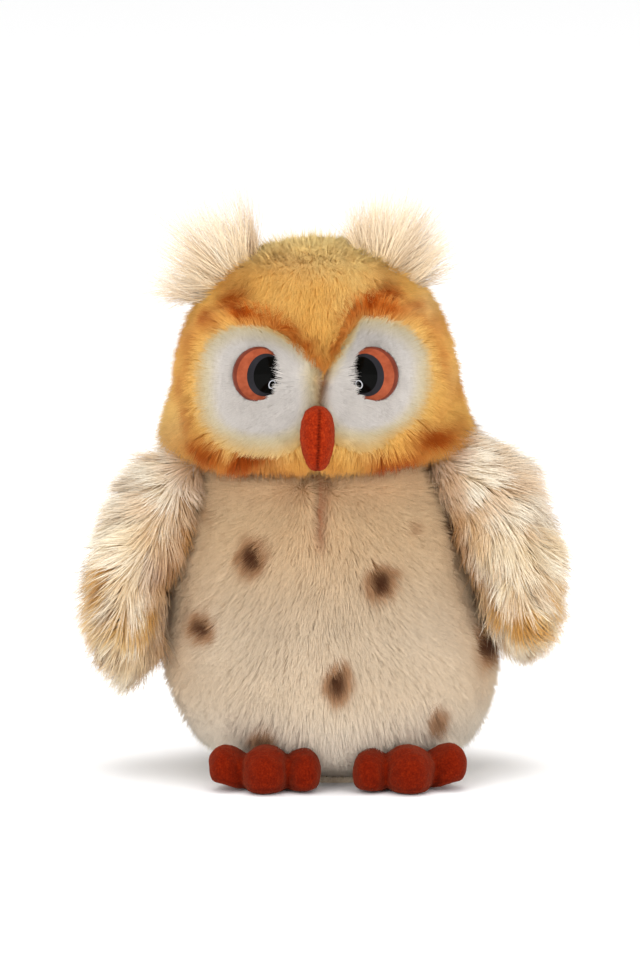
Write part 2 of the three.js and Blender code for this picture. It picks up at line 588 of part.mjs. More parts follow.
const eyeCuts = [1, -1].flatMap((side) => [eyeHole(side), stemHole(side), washerRoom(side)]);
const headSkin = cut(headForm(0), headForm(CLOTH), post(NECK_X, 0, 0, HEAD_BOTTOM + CLOTH + 1, FRAME.r + GAP, 40), ...eyeCuts);
add("head_skin", largest(headSkin), COLOUR.ginger);
const headStuffing = cut(
  headForm(CLOTH + GAP),
  post(NECK_X, 0, 0, FRAME.top + 2.4, FRAME.r + GAP, 40),
  post(NECK_X, PAT.y, 0, PAT.bottom + 0.1, 5 + GAP, 20),
  post(NECK_X, PAT.y, PAT.bottom - 0.3, PAT.bottom + 12, PAT.r + GAP, 28),
  ...eyeCuts,
);
add("head_stuffing", headStuffing, 0xf2f0ea);

// ---- Ear tufts ----------------------------------------------------------------------------------
// Each tuft is a fan of long pile, sewn into the head's upper corner.
const TUFTS = {
  left: { x: 27, z: 184, turn: 27, reach: 33 },
  right: { x: -29, z: 183, turn: -52, reach: 36 },
};
function tuft({ x, z, turn, reach }) {
  const fan = turned([[0, 0], [5, 0], [12, reach * 0.45], [15.5, reach * 0.8], [11, reach], [0, reach]], 0, 0, 20, (p) => {
    p.y *= 0.42;
  });
  return fan.rotate([0, turn, 0]).translate([NECK_X + x, -2, z]).subtract(headForm(-GAP));
}
for (const [side, place] of Object.entries(TUFTS)) {
  add(`ear_tuft_${side}`, largest(tuft(place)), COLOUR.cream);
}

export default owl;
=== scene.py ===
"""A plush owl toy: cloth skins and pile, felt feet and beak, glossy eyes, and a plastic core inside."""

import json
import math

import bmesh
import bpy
import numpy as np
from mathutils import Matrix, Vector, kdtree


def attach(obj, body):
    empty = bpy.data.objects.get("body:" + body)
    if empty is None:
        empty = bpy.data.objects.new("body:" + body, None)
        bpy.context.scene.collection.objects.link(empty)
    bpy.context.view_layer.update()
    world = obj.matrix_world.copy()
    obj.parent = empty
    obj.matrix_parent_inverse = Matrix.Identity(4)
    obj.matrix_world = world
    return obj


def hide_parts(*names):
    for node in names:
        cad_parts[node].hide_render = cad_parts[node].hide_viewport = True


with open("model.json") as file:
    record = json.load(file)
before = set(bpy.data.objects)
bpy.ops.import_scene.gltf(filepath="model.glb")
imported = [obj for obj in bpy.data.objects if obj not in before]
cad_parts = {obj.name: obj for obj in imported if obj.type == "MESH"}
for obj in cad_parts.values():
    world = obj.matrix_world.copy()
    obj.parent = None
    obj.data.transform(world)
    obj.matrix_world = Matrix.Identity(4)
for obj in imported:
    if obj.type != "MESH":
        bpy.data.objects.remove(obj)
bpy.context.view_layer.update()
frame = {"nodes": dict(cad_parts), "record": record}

MM = 0.001
NECK_X, BASE_X, BODY_TOP = -2.0, 6.0, 115.2
BODY_DEPTH, HEAD_DEPTH = 0.93, 0.9
# outlines of the body and the head: radius and height
BODY_PROFILE = [
    (37, 0), (43.5, 6), (49.5, 15), (55, 28), (58.4, 42), (58.6, 55),
    (56.5, 69), (52.5, 84), (47, 97), (40, 108), (32, 113.2), (22, 115.2), (13.2, 115.4),
]
HEAD_PROFILE = [
    (15, 116), (28, 115.9), (40, 116), (49.5, 117.3), (55, 121), (56.5, 127), (54.5, 134), (52, 143),
    (50, 153), (47.6, 163), (44, 172.5), (38.5, 181), (31, 188.5), (21, 194), (10, 196.6), (0, 197),
]
EYE_RADIUS, EYE_HOLE, EYE_SPACING, EYE_Y, EYE_Z, EYE_TURN = 10.0, 9.4, 20.9, -38.5, 149.8, 28.0
DISC_X, DISC_Z = 22.6, 144.5
BEAK_X = NECK_X + 0.65
FLOOR_CLEARANCE = 0.4
MAX_TRIANGLES = 196000
STRAND_TWIST = 0.3
SIDES = {"left": 1, "right": -1}
HASH_SIZE = 8192
HASH_PRIMES = 73856093, 19349663, 83492791


# ---- Numbers and noise
def linear(rgb):
    """An sRGB colour of 0-255 as linear light."""
    c = np.asarray(rgb, float) / 255
    return np.where(c <= 0.04045, c / 12.92, ((c + 0.055) / 1.055) ** 2.4)


def unit(v):
    return v / np.maximum(np.linalg.norm(v, axis=-1, keepdims=True), 1e-9)


def smoothstep(low, high, x):
    t = np.clip((x - low) / (high - low), 0, 1)
    return t * t * (3 - 2 * t)


def mix(a, b, t):
    return a + (b - a) * np.asarray(t)[..., None]


def bell(x, width):
    """1 where x is 0, fading to 0 on both sides."""
    return np.exp(-((x / width) ** 2))


def noise(p, size, seed):
    """Smooth value noise from -1 to 1 with features of the given size."""
    table = np.random.default_rng(seed).random(HASH_SIZE) * 2 - 1
    q = np.asarray(p, float) / size + 1000
    cell = np.floor(q).astype(np.int64)
    f = q - cell
    f = f * f * (3 - 2 * f)
    total = 0
    for corner in np.ndindex(2, 2, 2):
        key, weight = 0, 1
        for axis, step in enumerate(corner):
            key = key ^ (cell[:, axis] + step) * HASH_PRIMES[axis]
            weight = weight * (f[:, axis] if step else 1 - f[:, axis])
        total = total + table[key & (HASH_SIZE - 1)] * weight
    return total


def drift(p, size, seed):
    """A direction that wanders smoothly from place to place."""
    return np.stack([noise(p, size, seed + k) for k in range(3)], axis=1)


def blob(p, centre, radius):
    """1 at a centre, fading to 0 over the radii, for points in millimetres."""
    d = (np.asarray(p) - np.asarray(centre, float)) / np.asarray(radius, float)
    return np.exp(-np.sum(d * d, axis=1))


# ---- Mesh making
def vertex_normals(verts, faces):
    tri = triangles(faces)
    a, b, c = verts[tri[:, 0]], verts[tri[:, 1]], verts[tri[:, 2]]
    n = np.cross(b - a, c - a)
    out = np.zeros_like(verts)
    for k in range(3):
        np.add.at(out, tri[:, k], n)
    return unit(out)


def triangles(faces):
    if faces.shape[1] == 3:
        return faces
    return np.vstack([faces[:, [0, 1, 2]], faces[:, [0, 2, 3]]])


def build_mesh(name, verts, faces):
    """A mesh from millimetre points and an (n, 3) or (n, 4) array of faces."""
    mesh = bpy.data.meshes.new(name)
    faces = np.asarray(faces, np.int32)
    count, corners = faces.shape
    mesh.vertices.add(len(verts))
    mesh.vertices.foreach_set("co", (np.asarray(verts) * MM).astype(np.float32).ravel())
    mesh.loops.add(count * corners)
    mesh.loops.foreach_set("vertex_index", faces.ravel())
    mesh.polygons.add(count)
    mesh.polygons.foreach_set("loop_start", np.arange(0, count * corners, corners, dtype=np.int32))
    mesh.update(calc_edges=True)
    mesh.validate()
    mesh.polygons.foreach_set("use_smooth", np.ones(len(mesh.polygons), bool))
    return mesh


def grid_faces(rings, sides, closed=False):
    """Faces between rings of points. The last ring joins the first if the form is closed."""
    i, j = np.meshgrid(np.arange(rings if closed else rings - 1), np.arange(sides), indexing="ij")
    k, after = (j + 1) % sides, (i + 1) % rings
    corners = [i * sides + j, after * sides + j, after * sides + k, i * sides + k]
    return np.stack(corners, axis=2).reshape(-1, 4)


def fan_faces(middle, first, sides, turned=False):
    """Triangles that close a ring, whose points start at first, with one point in its middle."""
    j = np.arange(sides)
    edge = [first + j, first + (j + 1) % sides]
    return np.stack([np.full(sides, middle)] + (edge[::-1] if turned else edge), axis=1)


def face_outward(mesh):
    bm = bmesh.new()
    bm.from_mesh(mesh)
    bmesh.ops.recalc_face_normals(bm, faces=bm.faces)
    bm.to_mesh(mesh)
    bm.free()


def nearest_index(points, targets):
    """For each point, which target lies nearest."""
    tree = kdtree.KDTree(len(targets))
    for i, at in enumerate(targets.tolist()):
        tree.insert(at, i)
    tree.balance()
    return np.array([tree.find(at)[1] for at in points.tolist()])


def new_object(name, data):
    ob = bpy.data.objects.new(name, data)
    bpy.context.scene.collection.objects.link(ob)
    return ob


def place(name, mesh, materials, body, replaced):
    ob = new_object(name, mesh)
    for m in materials:
        mesh.materials.append(m)
    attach(ob, body)
    if replaced:
        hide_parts(*replaced)
    return ob


def tint(mesh, colour):
    """Stores a linear colour at each vertex."""
    layer = mesh.color_attributes.new(name="Tint", type="FLOAT_COLOR", domain="POINT")
    rgba = np.ones((len(mesh.vertices), 4), np.float32)
    rgba[:, :3] = np.clip(colour, 0, 1)
    layer.data.foreach_set("color", rgba.ravel())
    mesh.color_attributes.render_color_index = 0


def compact(verts, faces):
    """The faces with only the points that they use."""
    used = np.unique(faces)
    index = np.full(len(verts), -1)
    index[used] = np.arange(len(used))
    return verts[used], index[faces]


def remeshed(nodes, voxel, relax):
    """The joined outer form of some of the toy's solids, in millimetres, made even and relaxed."""
    bm = bmesh.new()
    for node in nodes:
        bm.from_mesh(frame["nodes"][node].data)
    mesh = bpy.data.meshes.new("remesh")
    bm.to_mesh(mesh)
    bm.free()
    ob = new_object("remesh", mesh)
    remesh = ob.modifiers.new("remesh", "REMESH")
    remesh.mode = "VOXEL"
    remesh.voxel_size = voxel * MM
    smooth = ob.modifiers.new("smooth", "SMOOTH")
    smooth.factor = 0.5
    smooth.iterations = relax
    done = bpy.data.meshes.new_from_object(ob.evaluated_get(bpy.context.evaluated_depsgraph_get()))
    bpy.data.objects.remove(ob)
    verts = np.empty(len(done.vertices) * 3)
    done.vertices.foreach_get("co", verts)
    verts = verts.reshape(-1, 3) / MM
    done.calc_loop_triangles()
    tri = np.empty(len(done.loop_triangles) * 3, np.int32)
    done.loop_triangles.foreach_get("vertices", tri)
    bpy.data.meshes.remove(done)
    return verts, tri.reshape(-1, 3)


# ---- Body and head forms
def dense(profile, count):
    """A smooth curve through profile points, evenly spaced."""
    p = np.asarray(profile, float)
    padded = np.vstack([2 * p[0] - p[1], p, 2 * p[-1] - p[-2]])
    out = []
    for i in range(1, len(padded) - 2):
        a, b, c, d = padded[i - 1 : i + 3]
        t = np.linspace(0, 1, 24, endpoint=False)[:, None]
        square = (2 * a - 5 * b + 4 * c - d) * t**2
        cube = (3 * b - a - 3 * c + d) * t**3
        out.append(0.5 * (2 * b + (c - a) * t + square + cube))
    curve = np.vstack(out + [p[-1:]])
    s = np.concatenate([[0], np.cumsum(np.linalg.norm(np.diff(curve, axis=0), axis=1))])
    even = np.linspace(0, s[-1], count)
    return np.stack([np.interp(even, s, curve[:, k]) for k in (0, 1)], axis=1)


def ring_form(profile, rings, sides, depth, centre, inset):
    """Points of a form turned from a profile, drawn in by inset, with closed ends. Angle 0 faces -Y."""
    curve = dense(profile, rings)
    along = unit(np.gradient(curve, axis=0))
    curve = curve - inset * np.stack([along[:, 1], -along[:, 0]], axis=1)
    angle = np.linspace(0, 2 * math.pi, sides, endpoint=False)
    r, z = curve[:, 0][:, None], curve[:, 1][:, None]
    x = r * np.sin(angle) + centre(z)
    y = -r * np.cos(angle) * depth
    verts = np.stack([x, y, np.broadcast_to(z, x.shape)], axis=2).reshape(-1, 3)
    return verts, grid_faces(rings, sides)[:, [0, 3, 2, 1]]


def lean(z):
    """Where the body's middle stands, from side to side, at a height."""
    return BASE_X + (NECK_X - BASE_X) * z / BODY_TOP


def seam_angle(z):
    """How far round from the front the side seam runs, in radians."""
    return np.radians(np.interp(z, [0, 34, 70, 104, 116], [84, 70, 65, 78, 84]))


def body_angle(p):
    return np.arctan2(p[:, 0] - lean(p[:, 2]), -p[:, 1] / BODY_DEPTH)


def body_shape(inset):
    verts, faces = ring_form(BODY_PROFILE, 96, 176, BODY_DEPTH, lean, inset)
    angle = body_angle(verts)
    z = verts[:, 2]
    radius = np.interp(z, [p[1] for p in BODY_PROFILE], [p[0] for p in BODY_PROFILE])
    away = (np.abs(angle) - seam_angle(z)) * radius
    side_seam = bell(away, 3.0) * smoothstep(2, 20, z)
    side_seam = side_seam * (1 + 0.7 * blob(verts, (47, -12, 92), (14, 14, 16)))
    front_seam = bell(angle * radius, 3.0) * smoothstep(84, 98, z) * smoothstep(114, 104, z)
    back_seam = bell((np.abs(angle) - math.pi) * radius, 2.8)
    lumps = noise(verts, 34, 3) * 1.3 + noise(verts, 15, 4) * 0.45
    out = lumps - 4.2 * side_seam - 1.6 * front_seam - 1.8 * back_seam
    out = out * smoothstep(0, 8, z) + 3.6 * smoothstep(66, 34, z) * smoothstep(5, 16, z)
    return verts + vertex_normals(verts, faces) * out[:, None], faces


def face_middle(z):
    """Where the seam between the facial discs runs."""
    return np.interp(z, [118, 140, 155], [-1.6, -0.6, 1.2])


def disc_distance(p, side):
    """0 at a facial disc's middle and 1 at its edge, which the brow cuts off near the middle of the face."""
    x, z = p[:, 0], p[:, 2]
    if side < 0:
        across, up, power = (x + 21.5) / 21.3, (z - 144.2) / 22.4, 2.4
        brow = 166.0 - 0.0215 * np.maximum(x + 25, 0) ** 2
    else:
        tilt = math.radians(11)
        dx, dz = x - 16.8, z - 146.0
        across = (dx * math.cos(tilt) - dz * math.sin(tilt)) / 20.6
        up, power = (dx * math.sin(tilt) + dz * math.cos(tilt)) / 22.8, 2.15
        brow = 152.6 + 1.5 * np.maximum(x - 2.2, 0)
    rho = (np.abs(across) ** power + np.abs(up) ** power) ** (1 / power)
    if side > 0:
        rho = rho + 0.13 * np.exp(-(((x - 30) / 12) ** 2 + ((z - 128) / 9) ** 2))
    return np.maximum(rho, 1 + (z - brow) / 24) + (p[:, 1] > -8) * 9


def nearest_disc(p):
    return np.minimum(disc_distance(p, 1), disc_distance(p, -1))


def head_shape(inset):
    verts, faces = ring_form(HEAD_PROFILE, 88, 192, HEAD_DEPTH, lambda z: NECK_X + z * 0, inset)
    n = vertex_normals(verts, faces)
    out = noise(verts, 30, 7) * 1.0 + noise(verts, 13, 8) * 0.4
    for side in SIDES.values():
        rho = disc_distance(verts, side)
        flat = smoothstep(1.38, 0.62, rho) * smoothstep(12, 28, (verts[:, 0] - NECK_X) * side)
        verts = verts + flat[:, None] * np.stack([rho * 0, -41.0 - verts[:, 1], rho * 0], axis=1) * 0.9
        out += 1.4 * bell(rho - 1.12, 0.14)
        out -= 2.0 * blob(verts, (NECK_X + side * 16, -43, 151), (6, 12, 10))
    middle = bell(verts[:, 0] - face_middle(verts[:, 2]), 2.2) * (verts[:, 1] < 0)
    out -= 2.2 * middle * smoothstep(118, 136, verts[:, 2]) * smoothstep(158, 152, verts[:, 2])
    out += 2.6 * blob(verts, (NECK_X + 3, -44, 164), (9, 14, 8))
    out += 1.2 * smoothstep(132, 122, verts[:, 2]) * smoothstep(116, 120, verts[:, 2])
    out -= 1.6 * smoothstep(180, 194, verts[:, 2])
    return verts + n * out[:, None], faces


# ---- Colours of the pile
# spots on the belly and on the back: x, z, half width, half height, strength
SPOTS = [
    (-23.0, 85.4, 4.4, 6.2, 1.0), (19.7, 76.8, 4.6, 5.6, 1.0), (-39.8, 58.8, 4.4, 5.2, 0.95),
    (5.5, 42.6, 4.2, 5.8, 0.95), (58.0, 49.4, 4.6, 7.0, 1.0), (46.5, 94.6, 4.5, 9.5, 0.8),
    (-19.3, 19.7, 4.0, 5.0, 0.75), (40.9, 25.6, 3.4, 5.0, 0.7), (-40.5, 108.0, 3.0, 3.4, 0.35),
    (-38.7, 98.6, 4.6, 4.0, 0.35), (30.7, 93.6, 2.4, 2.6, 0.4),
]
BACK_SPOTS = [
    (-30, 88, 4.4, 5.8, 0.9), (22, 82, 4.4, 5.6, 0.9), (-10, 66, 4.6, 5.8, 0.95), (38, 58, 4.2, 5.4, 0.9),
    (-42, 48, 4.2, 5.4, 0.85), (-26, 28, 4.0, 5.0, 0.8), (34, 28, 3.8, 5.0, 0.8), (6, 100, 3.8, 4.8, 0.7),
]


def layered(colour, *layers):
    """A linear colour with sRGB colours laid over it in turn, each by its own amount."""
    for rgb, amount in layers:
        colour = mix(colour, linear(rgb), amount)
    return colour


def body_colour(p):
    z = p[:, 2]
    front = p[:, 1] < 0
    from_seam = np.abs(body_angle(p)) - seam_angle(z)
    chest_seam = bell(p[:, 0] - NECK_X - 1.5 - 0.8 * noise(p, 6, 14), 2.3) * smoothstep(84, 97, z)
    colour = layered(
        linear((214, 194, 168)),
        ((215, 184, 145), smoothstep(52, 98, z)),
        ((222, 210, 193), smoothstep(40, 10, z)),
        ((200, 164, 124), 0.5 * bell(from_seam, 0.28) * smoothstep(20, 50, z)),
        ((160, 116, 78), 0.75 * bell(from_seam, 0.045) * smoothstep(12, 40, z)),
        ((172, 104, 68), 0.9 * chest_seam * front),
        ((206, 160, 116), 0.4 * smoothstep(98, 112, z)),
    )
    colour = colour * (1 + 0.05 * noise(p, 22, 11) + 0.03 * noise(p, 6, 12))[:, None]
    wobble = 1 + 0.25 * noise(p, 4, 13)
    dark = np.zeros(len(p))
    for spots, where in ((SPOTS, front), (BACK_SPOTS, ~front)):
        for x, up, w, h, strength in spots:
            d = np.hypot((p[:, 0] - x) / w, (z - up) / h) * wobble
            dark = np.maximum(dark, strength * smoothstep(1.9, 0.0, d) * where)
    colour = np.minimum(colour * (1.14 + 0.09 * smoothstep(80, 35, z))[:, None], 0.9)
    return layered(
        colour,
        ((178, 130, 90), 0.9 * smoothstep(0.02, 0.55, dark)),
        ((72, 36, 18), 0.92 * smoothstep(0.5, 0.97, dark)),
    )


# rust and fair patches on the head's front: x, z, half width, half height, strength
HEAD_DARK = [
    (-29, 176, 5, 5, 0.8), (-26, 171, 7, 4, 1.0), (-37, 166, 6, 5, 0.7), (19.5, 176, 5, 6, 0.9),
    (17, 172, 4, 5, 1.0), (30, 172, 7, 4, 0.6), (38, 164, 5, 7, 0.45), (-15, 168, 7, 3.5, 0.75),
    (-6, 162, 6, 4, 0.7), (10, 164, 4, 6, 0.6), (0, 157, 4, 5, 0.7), (-24, 121.0, 16, 4.5, 1.0),
    (-40, 124, 10, 5.5, 0.8), (27, 121.5, 15, 4.5, 0.9), (38, 126, 9, 5.5, 0.85), (44, 124, 5, 9, 0.5),
    (-46, 160, 4, 8, 0.35), (45, 142, 3, 7, 0.4), (-32, 184, 6, 5, 0.35), (-12, 190, 8, 4, 0.3),
]
# fair patches: the first, over the crown, is partly painted highlight where the top light falls
HEAD_LIGHT = [
    (0, 191, 26, 9, 1.0), (8, 178, 12, 10, 0.4), (-12, 178, 10, 8, 0.2), (36, 172, 7, 6, 0.65),
    (-52, 128, 6, 10, 0.5), (46, 150, 5, 6, 0.3),
]


def head_colour(p):
    z = p[:, 2]
    front = smoothstep(18, -6, p[:, 1])
    light = np.zeros(len(p))
    dark = np.zeros(len(p))
    fringe = np.zeros(len(p))
    warped_x, warped_z = p[:, 0] + 3 * noise(p, 12, 20), z + 3 * noise(p, 12, 21)
    for spots, total in ((HEAD_LIGHT, light), (HEAD_DARK, dark)):
        for x, up, w, h, strength in spots:
            d = ((warped_x - x) / w) ** 2 + ((warped_z - up) / h) ** 2
            np.maximum(total, strength * np.exp(-d) * front, out=total)
    for side in SIDES.values():
        rho = disc_distance(p, side)
        upper = smoothstep(148, 158, z) * smoothstep(36, 24, np.abs(p[:, 0] - NECK_X))
        edge = bell(rho - 1.2 + 0.1 * upper, 0.13 + 0.06 * upper)
        edge = edge * (0.3 + 0.35 * noise(p, 9, 24) + 0.28 * upper)
        dark = np.maximum(dark, np.clip(edge, 0, 1))
        fringe = np.maximum(fringe, smoothstep(1.14, 1.0, rho) * (1 - 0.8 * upper))
    back = 1 - front
    dark = np.maximum(dark, back * np.clip(0.45 * noise(p, 16, 22) + 0.1, 0, 0.5))
    light = np.maximum(light, back * np.clip(0.5 * noise(p, 20, 23) + 0.15, 0, 0.6))
    # the crown is lightened and its rust patches faded: partly the fur's own paler colour, partly painted
    # highlight where the top light falls
    light = np.maximum(light, 0.95 * smoothstep(181, 193, z))
    dark = dark * (1 - 0.6 * smoothstep(184, 192, z))
    colour = layered(
        linear((247, 191, 99)),
        ((255, 220, 148), light),
        ((178, 82, 8), np.clip(dark * 1.25, 0, 0.97)),
        ((142, 56, 4), smoothstep(0.6, 1.0, dark) * 0.85),
        ((160, 88, 34), 0.5 * smoothstep(119, 116.5, z)),
        ((240, 198, 120), 0.55 * fringe * (1 - smoothstep(0.5, 0.9, dark))),
        # more painted highlight on the crown, over its paler fur
        ((255, 224, 156), 0.8 * smoothstep(184, 193, z)),
    )
    return colour * (1 + 0.07 * noise(p, 7, 25))[:, None]


def disc_colour(p):
    z = p[:, 2]
    rho = nearest_disc(p)
    rim = 0.84 - 0.08 * smoothstep(134, 126, z) + 0.08 * smoothstep(148, 158, z)
    middle = bell(p[:, 0] - face_middle(z), 2.0) * smoothstep(124, 134, z)
    colour = layered(
        linear((220, 213, 206)),
        ((224, 208, 172), smoothstep(rim - 0.2, rim + 0.06, rho)),
        ((230, 184, 104), 0.8 * smoothstep(rim, 1.02, rho)),
    )
    # painted shade: the upper part of each disc is darkened where the brow shades it
    colour = colour * (1 - 0.2 * smoothstep(150, 164, z))[:, None]
    return layered(colour, ((150, 94, 50), 0.9 * middle))


def wing_colour(p):
    z = p[:, 2]
    side = np.sign(p[:, 0])
    down = 0.55 * p[:, 0] * side - 0.83 * z
    across = 0.83 * p[:, 0] * side + 0.55 * z + 2.5 * noise(p, 11, 35)
    lock = np.stack([across, p[:, 1], down * 0.25], axis=1)
    streak = noise(lock, 4.4, 31) + 0.4 * noise(lock, 2.0, 32)
    # the inner edge, beside the body, turns brown: partly the wing's golden-brown fur, partly painted shade
    # between wing and body
    edge = np.where(side > 0, 50, 56) + 15 * smoothstep(110, 72, z)
    inner = smoothstep(edge, edge - 8, np.abs(p[:, 0] - 2)) * smoothstep(20, 45, z)
    top = smoothstep(84, 102, z) * (1 - 0.5 * inner)
    return layered(
        linear((230, 211, 176)),
        ((214, 172, 102), 0.85 * smoothstep(0.1, 0.5, streak)),
        ((202, 142, 62), 0.7 * smoothstep(0.45, 0.85, streak)),
        ((248, 241, 224), 0.75 * smoothstep(0.0, -0.5, streak)),
        ((240, 232, 216), 0.75 * top),
        ((170, 108, 50), 0.85 * inner * (0.7 + 0.3 * noise(lock, 5, 34))),
    )


def tuft_colour(p):
    return layered(linear((238, 220, 192)), ((246, 238, 224), smoothstep(-0.2, 0.6, noise(p, 3, 41))))


def lining_colour(p):
    return linear((206, 178, 142)) * (1 + 0.08 * noise(p, 12, 51))[:, None]


# ---- Materials
def new_material(name):
    m = bpy.data.materials.new(name)
    m.use_nodes = True
    return m, m.node_tree, m.node_tree.nodes["Principled BSDF"]


def set_inputs(node, **values):
    for key, value in values.items():
        node.inputs[key.replace("_", " ").title().replace("Ior", "IOR")].default_value = value


def noise_node(tree, scale, detail=3.0, rough=0.55, stretch=None):
    at = tree.nodes.new("ShaderNodeTexCoord").outputs["Object"]
    if stretch:
        mapping = tree.nodes.new("ShaderNodeMapping")
        set_inputs(mapping, scale=stretch)
        tree.links.new(at, mapping.inputs["Vector"])
        at = mapping.outputs["Vector"]
    tex = tree.nodes.new("ShaderNodeTexNoise")
    set_inputs(tex, scale=scale, detail=detail, roughness=rough)
    tree.links.new(at, tex.inputs["Vector"])
    return tex.outputs["Fac"]


def ramp_node(tree, source, stops):
    ramp = tree.nodes.new("ShaderNodeValToRGB")
    while len(ramp.color_ramp.elements) < len(stops):
        ramp.color_ramp.elements.new(0.5)
    for element, (at, colour) in zip(ramp.color_ramp.elements, stops):
        element.position = at
        element.color = (*colour, 1)
    tree.links.new(source, ramp.inputs["Fac"])
    return ramp.outputs["Color"]


def bump_node(tree, height, strength, distance, shader):
    bump = tree.nodes.new("ShaderNodeBump")
    set_inputs(bump, strength=strength, distance=distance)
    tree.links.new(height, bump.inputs["Height"])
    tree.links.new(bump.outputs["Normal"], shader.inputs["Normal"])


def use_tint(tree, shade, shader):
    """Colours a surface by the tint kept at each vertex, times a shade."""
    tint_node = tree.nodes.new("ShaderNodeAttribute")
    tint_node.attribute_name = "Tint"
    multiply = tree.nodes.new("ShaderNodeMix")
    multiply.data_type = "RGBA"
    multiply.blend_type = "MULTIPLY"
    multiply.inputs["Factor"].default_value = 1
    tree.links.new(tint_node.outputs["Color"], multiply.inputs["A"])
    tree.links.new(shade, multiply.inputs["B"])
    tree.links.new(multiply.outputs["Result"], shader.inputs["Base Color"])


def pile_material(name, roughness, sheen, contrast=1.0):
    """Pile or its backing: the tint kept at each vertex, varied along the fibres."""
    m, tree, shader = new_material(name)
    stops = [(0.3, [1 - 0.14 * contrast] * 3), (0.7, [1 + 0.08 * contrast] * 3)]
    use_tint(tree, ramp_node(tree, noise_node(tree, 900, 2.0), stops), shader)
    set_inputs(shader, roughness=roughness, sheen_weight=sheen, sheen_roughness=0.5, specular_ior_level=0.08)
    return m


def felt_material(name, dark, mid, light):
    """Needled felt: fine fibres, small pills and a soft sheen."""
    m, tree, shader = new_material(name)
    blend = tree.nodes.new("ShaderNodeMix")
    blend.data_type = "FLOAT"
    blend.inputs["Factor"].default_value = 0.3
    tree.links.new(noise_node(tree, 1500, 4.0, 0.7), blend.inputs["A"])
    tree.links.new(noise_node(tree, 420, 3.0, 0.6), blend.inputs["B"])
    height = blend.outputs["Result"]
    stops = [(0.3, linear(dark)), (0.5, linear(mid)), (0.72, linear(light))]
    use_tint(tree, ramp_node(tree, height, stops), shader)
    set_inputs(shader, roughness=0.95, sheen_weight=0.12, sheen_roughness=0.45, specular_ior_level=0.05,
               sheen_tint=(1.0, 0.45, 0.25, 1))
    bump_node(tree, height, 0.7, 0.0006, shader)
    return m


def plastic_material(name, colour, roughness, grain=1.0):
    """Moulded plastic with a faint mottle and a fine spark-eroded grain."""
    m, tree, shader = new_material(name)
    base = linear(colour)
    stops = [(0.35, base * 0.88), (0.65, np.minimum(base * 1.06, 1))]
    tree.links.new(ramp_node(tree, noise_node(tree, 60), stops), shader.inputs["Base Color"])
    bump_node(tree, noise_node(tree, 2600, 2.0), 0.12 * grain, 0.0002, shader)
    set_inputs(shader, roughness=roughness, specular_ior_level=0.5)
    return m


def metal_material(name, colour, roughness, stretch=(1, 1, 12)):
    """Metal brushed along one direction."""
    m, tree, shader = new_material(name)
    base = linear(colour)
    stops = [(0.3, base * 0.8), (0.7, np.minimum(base * 1.1, 1))]
    brushed = noise_node(tree, 500, 4.0, 0.6, stretch)
    tree.links.new(ramp_node(tree, brushed, stops), shader.inputs["Base Color"])
    set_inputs(shader, roughness=roughness, metallic=1.0)
    return m


# ---- Pile
def scatter(verts, faces, density, rng, weight):
    """Random roots on a surface, density per square millimetre, with their normals."""
    tri = triangles(faces)
    a, b, c = verts[tri[:, 0]], verts[tri[:, 1]], verts[tri[:, 2]]
    area = np.linalg.norm(np.cross(b - a, c - a), axis=1) / 2
    if weight is not None:
        area = area * weight((a + b + c) / 3)
    count = int(area.sum() * density)
    pick = np.searchsorted(np.cumsum(area), rng.random(count) * area.sum())
    pick = np.minimum(pick, len(tri) - 1)
    u, v = rng.random((2, count))
    over = u + v > 1
    u[over], v[over] = 1 - u[over], 1 - v[over]
    w = 1 - u - v
    n = vertex_normals(verts, faces)
    root = a[pick] * w[:, None] + b[pick] * u[:, None] + c[pick] * v[:, None]
    t = tri[pick]
    normal = n[t[:, 0]] * w[:, None] + n[t[:, 1]] * u[:, None] + n[t[:, 2]] * v[:, None]
    return root, unit(normal)


def clump_offset(root, rng, spacing, area):
    """For each root, the vector to the middle of its lock of fibres, and which lock that is."""
    count = max(2, min(len(root), int(area / spacing**2)))
    guides = root[rng.choice(len(root), count, replace=False)]
    nearest = nearest_index(root, guides)
    return guides[nearest] - root, nearest


def across_to(v, n):
    """The share of v that lies square to n."""
    return v - n * np.sum(v * n, axis=1)[:, None]


def strand_directions(along, normal, lock_dir, is_stray, rng, lean_deg, jitter, curl, flatten):
    """Where each strand points at its root and at its tip. Without a lean it follows the comb."""
    n = len(along)
    if lean_deg is None:
        start = unit(along + rng.normal(size=(n, 3)) * jitter * 0.4)
        end = unit(along + rng.normal(size=(n, 3)) * jitter * 0.6 + lock_dir)
        return start, end
    tilted = lean_deg + flatten * smoothstep(0.25, 0.9, normal[:, 2])
    lean_angle = np.radians(np.clip(tilted + rng.normal(0, 7, n) + lock_dir[:, 0] * 14, 5, 85))
    lean_angle = np.where(is_stray, lean_angle * 0.55, lean_angle)
    first, last = lean_angle * (1 - curl), np.minimum(lean_angle * (1 + curl), math.radians(88))
    start = unit(normal * np.cos(first)[:, None] + along * np.sin(first)[:, None]
                 + rng.normal(size=(n, 3)) * jitter * 0.5 + lock_dir * 0.5)
    end = unit(normal * np.cos(last)[:, None] + along * np.sin(last)[:, None]
               + rng.normal(size=(n, 3)) * jitter * 0.35 + lock_dir)
    return start, end


def strand_triangles(sides, segments):
    """The triangles of one strand: the walls between its rings of points, and its tip."""
    tip = sides * segments
    tri = []
    for q in range(sides if sides > 2 else 1):
        r = (q + 1) % sides
        for k in range(segments - 1):
            low, high = k * sides, (k + 1) * sides
            tri += [[low + q, low + r, high + r], [low + q, high + r, high + q]]
        tri.append([tip - sides + q, tip - sides + r, tip])
    return np.array(tri)


